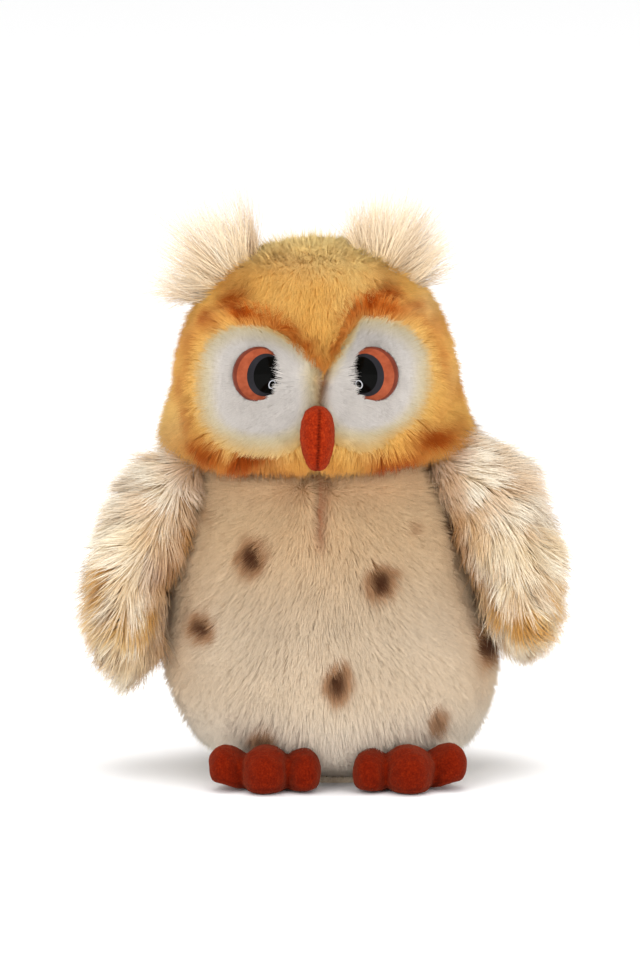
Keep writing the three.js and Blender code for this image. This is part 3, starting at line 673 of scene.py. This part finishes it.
def pile(name, surface, body, material, colour, comb, density, length, width, lean_deg,
         segments=1, sides=3, clump=0.5, spacing=4.0, jitter=0.25, weight=None, seed=1, root_shade=0.72,
         curl=0.35, stray=0.06, root_tint=None, stray_long=1.2, face=None, lock_tint=None,
         follow=0.5, uneven=0.42, taper=0.6, flatten=0.0):
    """Pile rooted on a surface: tapered spikes (3 sides) or ribbons (2), combed and gathered in locks."""
    rng = np.random.default_rng(seed)
    verts, faces = surface
    root, normal = scatter(verts, faces, density, rng, weight)
    n = len(root)
    along = comb(root)
    if lean_deg is not None:
        along = across_to(along, normal)
    along = unit(along)
    offset, lock = clump_offset(root, rng, spacing, n / density)
    offset = across_to(offset, normal)
    lock_rng = np.random.default_rng(seed + 77)
    lock_dir = lock_rng.normal(size=(lock.max() + 1, 3))[lock] * jitter * 0.7
    is_stray = rng.random(n) < stray
    start, end = strand_directions(along, normal, lock_dir, is_stray, rng, lean_deg, jitter, curl, flatten)
    long = length(root) if callable(length) else np.full(n, float(length))
    long = long * (1.14 - uneven * rng.random(n)) * np.where(is_stray, stray_long, 1)
    thick = width * (0.75 + 0.5 * rng.random(n)) * np.where(is_stray, 0.6, 1)
    steps = np.linspace(0, 1, segments + 1)
    points = []
    for t in steps:
        bend = start * (t - t * t / 2) + end * (t * t / 2)
        points.append(root + long[:, None] * bend + offset * (clump * t**1.4))
    if face is not None:
        normal = unit(np.tile(np.array(face, float), (n, 1)) + rng.normal(size=(n, 3)) * 0.25)
    tilt = unit(np.cross(end + start, normal) + rng.normal(size=(n, 3)) * STRAND_TWIST)
    outward = unit(normal * np.array([1, 1, 0]) + 1e-6)
    flat = np.hypot(normal[:, 0], normal[:, 1])
    upward = smoothstep(0.4, 0.9, normal[:, 2]) * smoothstep(0.05, 0.4, flat)
    hold = follow * (1 - 0.35 * smoothstep(0.55, 0.95, normal[:, 2]))[:, None]
    look = unit(normal + outward * (2.2 * upward)[:, None])
    base = colour(root) * (0.94 + 0.12 * rng.random(n))[:, None]
    if lock_tint is not None:
        tone = lock_rng.random(lock.max() + 1)[lock]
        base = mix(base, np.array(linear(lock_tint[0])), lock_tint[1] * tone**2)
    ring, shade, facing = [], [], []
    for k, t in enumerate(steps):
        share = root_shade + (1.04 - root_shade) * t**0.8
        if root_tint is not None:
            share = share * mix(np.array(root_tint), np.ones(3), min(1.0, t / 0.75))
        direction = unit(points[min(k + 1, segments)] - points[max(k - 1, 0)])
        across = unit(across_to(tilt, direction))
        other = np.cross(direction, across)
        if k == segments:
            ring.append(points[k])
            shade.append(base * share)
            facing.append(unit(hold * look + (follow - 0.7 * hold) * direction))
            continue
        half = (thick * 0.5 * (1 - t) ** taper)[:, None]
        if sides == 2:
            out = other * np.sign(np.sum(other * normal, axis=1) + 1e-6)[:, None]
            spokes = [-across, across]
            soft = [unit(0.55 * look + 0.45 * out + 0.25 * direction + 0.3 * spoke) for spoke in spokes]
        else:
            turns = [math.radians(90 + 120 * q) for q in range(3)]
            spokes = [across * math.cos(q) + other * math.sin(q) for q in turns]
            soft = [unit(hold * look + (1 - hold) * spoke + 0.15 * direction) for spoke in spokes]
        for spoke, aim in zip(spokes, soft):
            ring.append(points[k] + spoke * half)
            shade.append(base * share)
            facing.append(aim)
    per = sides * segments + 1
    pts = np.stack(ring, axis=1)
    pts[:, :, 2] = np.maximum(pts[:, :, 2], FLOOR_CLEARANCE)
    tri = strand_triangles(sides, segments)
    faces_all = (np.arange(n)[:, None, None] * per + tri[None]).reshape(-1, 3)
    flat_pts = pts.reshape(-1, 3)
    if sides == 2:
        # each ribbon is wound so that it faces the way the skin does
        a, b, c = (flat_pts[faces_all[:, k]] for k in range(3))
        out = np.sum(np.cross(b - a, c - a) * np.repeat(normal, len(tri), axis=0), axis=1) < 0
        turned = np.repeat(out.reshape(n, -1).mean(axis=1) > 0.5, len(tri))
        faces_all[turned] = faces_all[turned][:, ::-1]
    colours = np.stack(shade, axis=1).reshape(-1, 3)
    facing = np.stack(facing, axis=1).reshape(-1, 3)
    parts = math.ceil(n * len(tri) / MAX_TRIANGLES)
    key = np.arctan2(root[:, 0] - root[:, 0].mean(), -root[:, 1] + root[:, 1].mean())
    rank = np.argsort(np.argsort(key, kind="stable"), kind="stable") * parts // n
    for part in range(parts):
        piece = name if parts == 1 else f"{name}_{part + 1}"
        chosen = np.flatnonzero(rank == part)
        strand_object(piece, chosen, per, sides, tri, flat_pts, faces_all, colours, facing,
                      material, body)


def strand_object(name, chosen, per, sides, tri, points, faces, colours, facing, material, body):
    """One piece of pile made of the chosen strands."""
    m = len(chosen)
    rows = (chosen[:, None] * per + np.arange(per)).ravel()
    face_rows = (chosen[:, None] * len(tri) + np.arange(len(tri))).ravel()
    shift = np.repeat(np.arange(m) * per - chosen * per, len(tri))
    mesh = build_mesh(name, points[rows], faces[face_rows] + shift[:, None])
    tint(mesh, colours[rows])
    custom = mesh.attributes.new("custom_normal", "FLOAT_VECTOR", "POINT")
    custom.data.foreach_set("vector", facing[rows].astype(np.float32).ravel())
    # each strand has its own cell of the map
    side = math.ceil(math.sqrt(m))
    column, line = np.arange(m) % side, np.arange(m) // side
    along = np.array([k // sides for k in range(per)]) / ((per - 1) / sides)
    across = np.append(np.tile(np.linspace(0.12, 0.88, sides), (per - 1) // sides), 0.5)
    u = (column[:, None] + across) / side
    v = (line[:, None] + 0.1 + 0.8 * along) / side
    uv_at = np.stack([u, v], axis=2).reshape(-1, 2)
    loops = np.empty(len(mesh.loops), np.int32)
    mesh.loops.foreach_get("vertex_index", loops)
    layer = mesh.uv_layers.new(name="OFBake")
    layer.data.foreach_set("uv", uv_at[loops].astype(np.float32).ravel())
    place(name, mesh, [material], body, ())


def part_of(surface, keep):
    """The faces of a surface whose middles satisfy keep."""
    verts, faces = surface
    middle = verts[faces].mean(axis=1)
    return compact(verts, faces[keep(middle)])


# ---- The owl's cloth
PILE = pile_material("short_pile", 0.9, 0.04, 0.6)
FINE_PILE = pile_material("face_pile", 0.9, 0.04, 0.2)
LONG_PILE = pile_material("long_pile", 0.7, 0.25)
BACKING = pile_material("knitted_backing", 0.95, 0.0)
FELT = felt_material("rust_felt", (98, 21, 4), (135, 34, 8), (175, 60, 20))

BODY_SKIN = body_shape(4.0)
HEAD_SKIN = head_shape(4.2)


def is_belly(p):
    return (np.abs(body_angle(p)) < seam_angle(p[:, 2])) & (p[:, 1] < 0)


def in_eye(p):
    """Where the cloth is cut away for an eye: its inner side stays covered."""
    out = np.zeros(len(p), bool)
    for side in SIDES.values():
        x = (p[:, 0] - (NECK_X + side * (EYE_SPACING - 0.5))) / (EYE_HOLE * 0.93)
        z = (p[:, 2] - EYE_Z) / EYE_HOLE
        out |= (np.hypot(x, z) < 1) & (p[:, 1] < -10)
    return out


def in_disc(p, side):
    return (disc_distance(p, side) < 1) & ((p[:, 0] - face_middle(p[:, 2])) * side > 0)


def cloth(name, surface, colour, body, replaced, thickness=1.0):
    """A skin with its pile's colours and a real thickness."""
    verts, faces = surface
    mesh = build_mesh(name, verts, faces)
    tint(mesh, colour(verts) * 0.95)
    ob = place(name, mesh, [BACKING], body, replaced)
    if thickness:
        solidify = ob.modifiers.new("thickness", "SOLIDIFY")
        solidify.thickness = thickness * MM
        solidify.offset = -1
    return ob


def down_comb(spread):
    """A comb for pile that hangs down and spreads a little to both sides."""
    def comb(p):
        out = np.tile(np.array([0.0, 0.0, -1.0]), (len(p), 1))
        out[:, 0] = spread * np.clip((p[:, 0] - lean(p[:, 2])) / 30, -1, 1)
        out[:, 1] = 0.2 * noise(p, 25, 61)
        out[:, 0] += 0.3 * noise(p, 18, 62)
        return out

    return comb


belly = part_of(BODY_SKIN, is_belly)
back = part_of(BODY_SKIN, lambda p: ~is_belly(p))
belly_skin = cloth("belly_cloth", belly, body_colour, "body", ["belly_panel"])
back_skin = cloth("back_cloth", back, body_colour, "body", ["back_panel"])


def body_weight(p):
    return smoothstep(0.3, 2.5, p[:, 2]) * smoothstep(116, 112, p[:, 2])


def body_length(p):
    z = p[:, 2]
    angle = np.abs(body_angle(p))
    seam = bell(angle - seam_angle(z), 0.055) * smoothstep(98, 88, z)
    shoulder = smoothstep(92, 106, z) * bell(angle - 1.5, 0.5)
    length = (7.4 + 2.4 * smoothstep(98, 108, z) + 4.0 * shoulder) * (1 - 0.6 * seam)
    return length * (0.62 + 0.38 * smoothstep(2, 22, z)) * (1 + 0.08 * noise(p, 9, 63))


pile("belly_pile", belly, "body", PILE, body_colour, down_comb(0.35), 8.0, body_length, 0.28,
     50, weight=body_weight, seed=101, clump=0.1, spacing=3.0, jitter=0.13, root_shade=0.9)
pile("back_pile", back, "body", PILE, body_colour, down_comb(0.15), 5.0, body_length, 0.34,
     50, weight=body_weight, seed=102, clump=0.12, spacing=3.0, jitter=0.15, root_shade=0.88)


# ---- Head
head_only = part_of(HEAD_SKIN, lambda p: ~(in_disc(p, 1) | in_disc(p, -1)) & ~in_eye(p))
head_skin = cloth("head_cloth", head_only, head_colour, "head", ["head_skin"])


def head_comb(p):
    x, y, z = p.T
    out = np.tile(np.array([0.0, 0.0, -1.0]), (len(p), 1))
    for side in SIDES.values():
        centre = np.array([NECK_X + side * DISC_X, -45, DISC_Z])
        near = bell(np.maximum(disc_distance(p, side) - 1, 0), 0.35)
        out += unit(p - centre) * (near * 1.5)[:, None]
    crown = smoothstep(174, 190, z)
    over = np.stack([(x - NECK_X) / 80, np.clip((y - 24) / 10, -1, 1), np.full(len(p), -0.3)], axis=1)
    out = mix(out, over, crown)
    out += 0.22 * drift(p, 18, 64) * (1 - 0.8 * crown)[:, None]
    middle = bell(x - NECK_X, 9) * (y < 0)
    middle = middle * np.maximum(smoothstep(150, 158, z), smoothstep(124, 119, z))
    return mix(out, np.array([0, -0.2, -1.0]), 0.85 * middle)


def head_length(p):
    x, y, z = p.T
    cheek = smoothstep(132, 118, z)
    between = bell(x - NECK_X, 4) * smoothstep(158, 153, z) * (y < 0) * smoothstep(119, 125, z)
    base = 6.8 + 0.8 * cheek + 1.2 * smoothstep(178, 190, z) - 2.0 * bell(nearest_disc(p) - 1, 0.1)
    return base * (1 - 0.6 * between) * (1 + 0.12 * noise(p, 8, 67))


def head_weight(p):
    x, y, z = p.T
    gap = (np.abs(x - face_middle(z)) < 4) & (z > 124) & (z < 151) & (y < 0)
    under = (np.hypot(x - NECK_X, y / HEAD_DEPTH) < 37) & (z < 123)
    return smoothstep(115.6, 117.2, z) * (1 + 0.5 * smoothstep(176, 188, z)) * ~gap * ~under


pile("head_pile", head_only, "head", PILE, head_colour, head_comb, 6.6, head_length, 0.3, 46,
     weight=head_weight, seed=103, clump=0.18, spacing=3.0, jitter=0.15, root_shade=0.88, flatten=28)


def disc_comb(p):
    out = unit(p - np.array([NECK_X, -46, 148]))
    out[:, 1] = 0
    return out + 0.15 * drift(p, 12, 71)


def inner_corner(p):
    """How far a point is from the inner edge of the nearer eye, which reaches far up and down."""
    return np.hypot(np.abs(p[:, 0] - NECK_X) - 11, (p[:, 2] - 150) / 1.6)


def under_beak(p):
    return (np.abs(p[:, 0] - BEAK_X) < 4.2) & (p[:, 2] > 119) & (p[:, 2] < 137) & (p[:, 1] < 0)


def disc_weight(p):
    return (1 - 0.65 * bell(inner_corner(p), 2.6)) * ~under_beak(p)


def disc_length(p):
    ragged = 1 + 0.5 * noise(p, 1.6, 74)
    return 2.6 + 1.6 * smoothstep(0.8, 1.0, nearest_disc(p)) + 3.2 * ragged * bell(inner_corner(p), 3.6)


for label, side in SIDES.items():
    disc = part_of(HEAD_SKIN, lambda p: in_disc(p, side) & ~in_eye(p))
    piece = f"face_disc_{label}"
    cloth(f"{piece}_cloth", disc, disc_colour, "head", [piece])
    pile(f"{piece}_pile", disc, "head", FINE_PILE, disc_colour, disc_comb, 17.0, disc_length,
         0.22, 42, weight=disc_weight, clump=0.03, spacing=2.2, jitter=0.12, seed=110 + side,
         root_shade=0.95, follow=0.8)


# ---- Eyes
def glossy(name, low, high, scale):
    """A moulded eye colour under a clear dome."""
    m, tree, shader = new_material(name)
    mottle = ramp_node(tree, noise_node(tree, scale, 4.0, 0.6), [(0.3, linear(low)), (0.7, linear(high))])
    tree.links.new(mottle, shader.inputs["Base Color"])
    set_inputs(shader, roughness=0.3, specular_ior_level=0.02, coat_weight=1.0, coat_roughness=0.03)
    set_inputs(shader, coat_ior=1.12)
    return m


EYE_MATERIALS = [
    glossy("eye_iris", (122, 54, 32), (158, 80, 52), 240),
    glossy("eye_iris_rim", (92, 40, 28), (112, 52, 36), 240),
    glossy("eye_slate", (32, 31, 34), (40, 38, 42), 150),
    glossy("eye_black", (2, 2, 1), (4, 4, 3), 150),
    # pale colour of the painted glint ring, a painted reflection
    glossy("eye_glint", (176, 178, 186), (206, 208, 214), 300),
]
RIMS_AND_STEM = ((10.0, 0.3), (9.9, -0.6), (8.6, -1.5), (4.5, -1.6), (2.1, -2.0), (2.0, -8.0), (1.7, -15.0))
STEM_END = -15.2
DOME_RISE, DOME_REACH = 6.0, 104.0
PUPIL_SHIFT = 2.3


def dome_height(u, v):
    """The dome's height over a point of the eye's disc."""
    return DOME_RISE * np.sqrt(np.maximum(1 - (u * u + v * v) / DOME_REACH, 0)) - 0.2


def eye(side, label):
    """A domed toy eye: copper iris, black pupil with a slate edge, a stem behind, turned towards the beak."""
    iris, rim, slate, black, glint = range(5)
    seg = 112
    a = np.linspace(0, 2 * math.pi, seg, endpoint=False)
    # each circle: how far its middle lies towards the beak, its radius, and the material inside it
    stops = [(PUPIL_SHIFT, 0.0, black), (PUPIL_SHIFT, 6.6, black), (1.2, 7.75, slate), (0.0, 9.45, iris),
             (0.0, EYE_RADIUS, rim)]
    rows, kinds = [], []
    for (c0, r0, _), (c1, r1, kind) in zip(stops, stops[1:]):
        for t in np.linspace(0, 1, 7 if r0 == 0 else 4)[1:]:
            c, r = c0 + (c1 - c0) * t, r0 + (r1 - r0) * t
            u, v = c + r * np.cos(a), r * np.sin(a)
            rows.append(np.stack([u, v, dome_height(u, v)], axis=1))
            kinds.append(kind)
    for r, w in RIMS_AND_STEM:
        rows.append(np.stack([r * np.cos(a), r * np.sin(a), np.full(seg, w)], axis=1))
        kinds.append(rim if w > -1 else black)
    count = len(rows) * seg
    ends = [[PUPIL_SHIFT, 0, dome_height(PUPIL_SHIFT, 0)], [0, 0, STEM_END]]
    faces = [
        triangles(grid_faces(len(rows), seg)),
        fan_faces(count, 0, seg),
        fan_faces(count + 1, count - seg, seg, turned=True),
    ]
    index = [np.tile(np.repeat(kinds[1:], seg), 2), [black] * (2 * seg)]
    # the painted glint: a thin raised pale ring near the pupil's lower inner edge, a painted reflection of a
    # lamp that stays in place from every side
    ring_n, tube_n = 40, 8
    g, h = np.meshgrid(np.linspace(0, 2 * math.pi, ring_n, endpoint=False),
                       np.linspace(0, 2 * math.pi, tube_n, endpoint=False), indexing="ij")
    r = 1.45 + 0.2 * np.cos(h)
    u, v = 3.3 + r * np.cos(g), -3.4 + r * np.sin(g)
    ring = np.stack([u, v, dome_height(u, v) + 0.05 * np.sin(h)], axis=2).reshape(-1, 3)
    pts = np.vstack([*rows, ends, ring])
    faces.append(count + len(ends) + triangles(grid_faces(ring_n, tube_n, closed=True)))
    index.append([glint] * (2 * ring_n * tube_n))
    turn = math.radians(EYE_TURN)
    forward = np.array([-side * math.sin(turn), -math.cos(turn), 0])
    toward_beak = np.array([-side * math.cos(turn), math.sin(turn), 0])
    centre = np.array([NECK_X + side * EYE_SPACING, EYE_Y, EYE_Z])
    world = centre + pts[:, :1] * toward_beak + pts[:, 1:2] * np.array([0, 0, 1.0]) + pts[:, 2:3] * forward
    mesh = build_mesh(f"eye_{label}_dome", world, np.vstack(faces))
    mesh.polygons.foreach_set("material_index", np.concatenate(index).astype(np.int32))
    face_outward(mesh)
    place(f"eye_{label}_dome", mesh, EYE_MATERIALS, "head", [f"eye_{label}"])


for label, side in SIDES.items():
    eye(side, label)


# ---- Beak
def beak():
    """A stuffed felt almond with a sewn seam down the front."""
    rings, seg = 72, 96
    t = np.linspace(0, 1, rings)
    z = 139.4 - 23.2 * t
    wide = dense([(0, 1.0), (0.02, 2.4), (0.1, 4.5), (0.25, 5.8), (0.45, 6.3), (0.6, 6.1), (0.76, 5.2),
                  (0.9, 3.9), (0.98, 2.4), (1.0, 1.0)], 200)
    half = np.interp(t, wide[:, 0], wide[:, 1])
    depth = 1.45 * half * (0.85 + 0.25 * t)
    root_y = -47.2 - 2.2 * smoothstep(0, 0.8, t)
    a = np.linspace(0, 2 * math.pi, seg, endpoint=False)
    x = BEAK_X + half[:, None] * np.sin(a)
    front = np.cos(a)
    y = root_y[:, None] - depth[:, None] * np.where(front > 0, front, front * 0.3)
    seam_x = (-0.4 - 1.0 * t + 0.12 * np.sin(t * 90))[:, None]
    groove = bell(x - seam_x, 0.6) * (front > 0.1) * smoothstep(0.0, 0.06, t)[:, None]
    y = y + 1.0 * groove
    verts = np.stack([x, y, np.broadcast_to(z[:, None], x.shape)], axis=2).reshape(-1, 3)
    faces = grid_faces(rings, seg)
    rough = 0.16 * noise(verts, 2.0, 81) + 0.1 * noise(verts, 0.9, 82)
    verts = verts + vertex_normals(verts, faces) * rough[:, None]
    n = len(verts)
    verts = np.vstack([verts, verts[:seg].mean(axis=0), verts[-seg:].mean(axis=0)])
    tris = np.vstack([triangles(faces), fan_faces(n, 0, seg), fan_faces(n + 1, n - seg, seg, turned=True)])
    mesh = build_mesh("beak_felt", verts, tris)
    stitches = (groove * (0.65 + 0.35 * np.sin(t * 150)[:, None])).ravel()
    tint(mesh, mix(np.ones((len(verts), 3)), np.array([0.3, 0.2, 0.2]), np.append(stitches, [0, 0])))
    face_outward(mesh)
    ob = place("beak_felt", mesh, [FELT], "head", ["beak"])


beak()


# ---- Feet
def foot(label):
    """Three stuffed felt toes on a sole, with a seam low round them."""
    verts, faces = remeshed([f"foot_{label}"], 0.8, 6)
    n = vertex_normals(verts, faces)
    out = 0.35 * noise(verts, 5, 91) + 0.12 * noise(verts, 1.6, 92)
    low = smoothstep(1.2, 3.2, verts[:, 2])
    verts = verts + n * (out * low)[:, None]
    verts[:, 2] = np.maximum(verts[:, 2], 0.05)
    verts[:, 2] -= 1.5 * smoothstep(8, 3, verts[:, 2])
    middle = 0.5 * (verts[:, 0].max() + verts[:, 0].min())
    outer = smoothstep(7, 17, (verts[:, 0] - middle) * SIDES[label])
    verts[:, 2] += 3.0 * outer + 0.8 * smoothstep(7, 17, (middle - verts[:, 0]) * SIDES[label])
    seam = bell(verts[:, 2] - 2.2 - 3 * outer, 0.35)
    mesh = build_mesh(f"foot_{label}_felt", verts, faces)
    tint(mesh, mix(np.tile([0.56, 0.46, 0.4], (len(verts), 1)), np.array([0.3, 0.2, 0.2]), 0.6 * seam))
    replaced = [f"foot_{label}", f"foot_{label}_sole"]
    ob = place(f"foot_{label}_felt", mesh, [FELT], "body", replaced)


for label in SIDES:
    foot(label)


# ---- Wings
# how far the parts of each wing's skin are moved, up or to the side, in millimetres
WING_FIT = {
    "left": {"shoulder_up": 15, "tip_up": 9, "outer": 3.0, "lining": 4.5, "inner": 2.2, "low": 2.0},
    "right": {"shoulder_up": 11, "tip_up": 7, "outer": 0.0, "lining": 2.0, "inner": 4.5, "low": 0.0},
}


def wing(label, side):
    """An outer cloth with long shaggy pile, and a lining with short pile on the side towards the body."""
    fit = WING_FIT[label]
    verts, faces = remeshed([f"wing_{label}", f"wing_{label}_lining"], 1.6, 12)
    n = vertex_normals(verts, faces)
    outward = n[:, 0] * side
    verts = verts - n * (2.0 + 5.5 * smoothstep(-0.3, 0.6, outward))[:, None]
    shoulder = smoothstep(68, 104, verts[:, 2])
    verts[:, 2] += fit["shoulder_up"] * shoulder + fit["tip_up"] * smoothstep(56, 34, verts[:, 2])
    z = verts[:, 2]
    outer = fit["outer"] * smoothstep(-0.2, 0.5, outward)
    lining = fit["lining"] * smoothstep(0.2, -0.5, outward)
    verts[:, 0] += side * shoulder * (outer - lining)
    verts[:, 0] += side * fit["inner"] * smoothstep(0.3, -0.4, outward) * smoothstep(95, 75, z)
    verts[:, 0] += side * (fit["low"] * smoothstep(96, 76, z) - 4.0 * smoothstep(60, 36, z))
    middle = vertex_normals(verts, faces)[faces].mean(axis=1)
    towards_body = (middle[:, 0] * side < -0.35) & (middle[:, 1] > -0.45)
    cover_form = compact(verts, faces[~towards_body])
    lining_form = compact(verts, faces[towards_body])
    body, name = f"wing_{label}", f"wing_{label}_lining"
    cover = cloth(f"{body}_cloth", cover_form, wing_colour, body, [body])
    cloth(f"{name}_cloth", lining_form, lining_colour, body, [name])

    def comb(p):
        out = np.tile(np.array([side * 0.75, 0.15, -0.9]), (len(p), 1))
        top = smoothstep(100, 122, p[:, 2])
        out[:, 0] -= side * 0.25 * smoothstep(64, 52, np.abs(p[:, 0] - 2)) * (1 - top)
        out[:, 2] += 0.7 * top
        out += 0.85 * drift(p, 13, 95)
        return out

    def long(p):
        return 17.0 * (1 + 0.2 * noise(p, 8, 98)) * (1 - 0.3 * smoothstep(60, 50, np.abs(p[:, 0] - 2)))

    pile(f"{body}_pile", cover_form, body, LONG_PILE, wing_colour, comb, 4.6, long, 0.32, 60,
         segments=4, sides=2, clump=0.45, spacing=5.0, jitter=0.22, seed=120 + side, root_shade=0.92,
         curl=0.4, root_tint=(0.9, 0.72, 0.48), lock_tint=((204, 148, 70), 0.42), stray_long=1.0)
    pile(f"{name}_pile", lining_form, body, PILE, lining_colour, down_comb(0.2), 2.6, 5.0,
         0.45, 55, seed=130 + side)


for label, side in SIDES.items():
    wing(label, side)


# ---- Tail
tail_verts, tail_faces = remeshed(["tail"], 1.6, 8)
tail = tail_verts - vertex_normals(tail_verts, tail_faces) * 3.5, tail_faces
tail_skin = cloth("tail_cloth", tail, wing_colour, "body", ["tail"], thickness=0)
pile("tail_pile", tail, "body", LONG_PILE, wing_colour,
     lambda p: np.tile(np.array([0, 0.5, -1.0]), (len(p), 1)), 4.0, 12.0, 0.34, 52, segments=3, sides=2,
     clump=0.5, seed=140, root_tint=(0.92, 0.76, 0.52), root_shade=0.9, lock_tint=((196, 140, 66), 0.5))


# ---- Ear tufts
def tuft(label, side, centre, hub, reach):
    """A fan of long fine pile that springs from the head's corner, away from a hub inside the head."""
    centre, hub = np.array(centre), np.array(hub)
    strip = np.array([13, 6.5, 13])
    verts, faces = part_of(HEAD_SKIN, lambda p: np.linalg.norm((p - centre) / strip, axis=1) < 1)
    patch = verts + vertex_normals(verts, faces) * 1.0, faces
    piece = f"ear_tuft_{label}"
    cloth(f"{piece}_base", patch, tuft_colour, "head", [piece], thickness=0.8)

    def comb(p):
        return unit(p - hub) * np.array([1, 0.8, 1]) + 0.3 * drift(p, 4, 98)

    def long(p):
        middle = bell(np.linalg.norm(p - centre, axis=1), 11)
        return reach * (0.55 + 0.45 * middle) * (0.85 + 0.3 * noise(p, 2.2, 94))

    pile(f"{piece}_pile", patch, "head", LONG_PILE, tuft_colour, comb, 9.0, long, 0.24, None,
         segments=5, sides=2, clump=0.5, spacing=2.2, jitter=0.5, seed=150 + side, root_shade=0.88,
         stray=0.12, root_tint=(1.0, 0.93, 0.8), face=(0, -1, 0.5), stray_long=1.1,
         lock_tint=((160, 122, 84), 0.5), uneven=0.85, taper=0.8)


tuft("left", 1, (NECK_X + 26, -5, 185), (NECK_X + 20, -6, 170), 35)
tuft("right", -1, (NECK_X - 31, -5, 180), (NECK_X - 20, -6, 170), 42)


# ---- Hidden fillings and the inside
def wadding(name, node, body, skin):
    """The filling, kept well inside the cloth around it."""
    verts, faces = remeshed([node], 2.6, 3)
    n = vertex_normals(verts, faces)
    verts = verts - n * (2.0 + 0.5 * noise(verts, 7, 160))[:, None]
    skin_verts, skin_faces = skin
    skin_n = vertex_normals(skin_verts, skin_faces)
    for _ in range(2):
        nearest = nearest_index(verts, skin_verts)
        gap = np.sum((verts - skin_verts[nearest]) * skin_n[nearest], axis=1)
        verts = verts - skin_n[nearest] * np.maximum(gap + 2.4, 0)[:, None]
    mesh = build_mesh(name, verts, faces)
    tint(mesh, linear((236, 234, 228)) * (1 + 0.06 * noise(verts, 5, 161))[:, None])
    ob = place(name, mesh, [BACKING], body, [node])


wadding("body_wadding", "body_stuffing", "body", BODY_SKIN)
wadding("head_wadding", "head_stuffing", "head", HEAD_SKIN)

BY_SLOT = {
    "pale_plastic": plastic_material("pale_plastic", (214, 211, 200), 0.5),
    "dark_plastic": plastic_material("dark_plastic", (34, 34, 37), 0.45),
    "gear_plastic": plastic_material("gear_plastic", (232, 228, 214), 0.4, 0.5),
    "button_plastic": plastic_material("button_plastic", (166, 92, 60), 0.4),
    "steel": metal_material("plated_steel", (176, 178, 184), 0.3),
    "board": plastic_material("circuit_board", (34, 100, 58), 0.35, 2.0),
    "cell_jacket": metal_material("cell_jacket", (80, 96, 112), 0.35, (12, 1, 1)),
}
slots = {s["node"]: s["material_slot"] for s in frame["record"]["subparts"]}
for node, ob in frame["nodes"].items():
    material = BY_SLOT.get(slots[node])
    if material and not ob.hide_render:
        ob.data.materials.clear()
        ob.data.materials.append(material)


# ---- Base cloth
def base_cloth():
    """The flat cloth under the toy."""
    mesh = frame["nodes"]["base_panel"].data.copy()
    mesh.materials.clear()
    tint(mesh, linear((196, 172, 142)))
    m, tree, shader = new_material("base_felt")
    fuzz = noise_node(tree, 1200, 4.0, 0.7)
    stops = [(0.3, linear((190, 168, 140))), (0.5, linear((214, 196, 170))), (0.75, linear((230, 214, 192)))]
    tree.links.new(ramp_node(tree, fuzz, stops), shader.inputs["Base Color"])
    bump_node(tree, fuzz, 0.6, 0.0004, shader)
    set_inputs(shader, roughness=0.95, sheen_weight=0.2, specular_ior_level=0.1)
    mesh.materials.append(m)
    ob = new_object("base_cloth", mesh)
    bevel = ob.modifiers.new("edge", "BEVEL")
    bevel.width = 0.5 * MM
    bevel.segments = 2
    bevel.limit_method = "ANGLE"
    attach(ob, "body")
    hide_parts("base_panel")


base_cloth()


# ---- Stage, light and camera
def stage():
    bpy.ops.mesh.primitive_plane_add(size=60)
    floor = bpy.context.object
    floor.name = "floor"
    m, _, shader = new_material("floor_white")
    set_inputs(shader, base_color=(0.95, 0.95, 0.95, 1), roughness=0.9, specular_ior_level=0.1)
    floor.data.materials.append(m)


stage()


def area_light(name, at, width, power):
    """A square lamp aimed at the toy's middle."""
    data = bpy.data.lights.new(name, "AREA")
    data.shape = "RECTANGLE"
    data.size = width
    data.size_y = width
    data.energy = power
    ob = new_object(name, data)
    ob.location = at
    ob.rotation_euler = (Vector((0, 0, 0.1)) - Vector(at)).to_track_quat("-Z", "Y").to_euler()
    ob.visible_glossy = False


area_light("key", (-1.0, -1.7, 1.0), 1.1, 15.5)
area_light("fill", (1.2, -1.6, 0.6), 1.2, 12.5)
area_light("top", (0, 0.2, 1.8), 1.4, 20)

world = bpy.data.worlds.new("studio")
bpy.context.scene.world = world
world.use_nodes = True
background = world.node_tree.nodes["Background"]
background.inputs["Color"].default_value = (1, 1, 1, 1)
background.inputs["Strength"].default_value = 1.0

camera_data = bpy.data.cameras.new("camera")
camera_data.clip_end = 20
camera = new_object("camera", camera_data)
camera_data.sensor_width = 36
camera_data.lens = 308.2
elevation, away = math.radians(8), 3.0
aim = Vector((-0.0004, 0.0, 0.1059))
camera.location = aim + away * Vector((0, -math.cos(elevation), math.sin(elevation)))
camera.rotation_euler = (aim - camera.location).to_track_quat("-Z", "Y").to_euler()
bpy.context.scene.camera = camera

scene = bpy.context.scene
scene.view_settings.view_transform = "Standard"
scene.cycles.use_denoising = True
scene.cycles.max_bounces = 8
scene.cycles.diffuse_bounces = 5
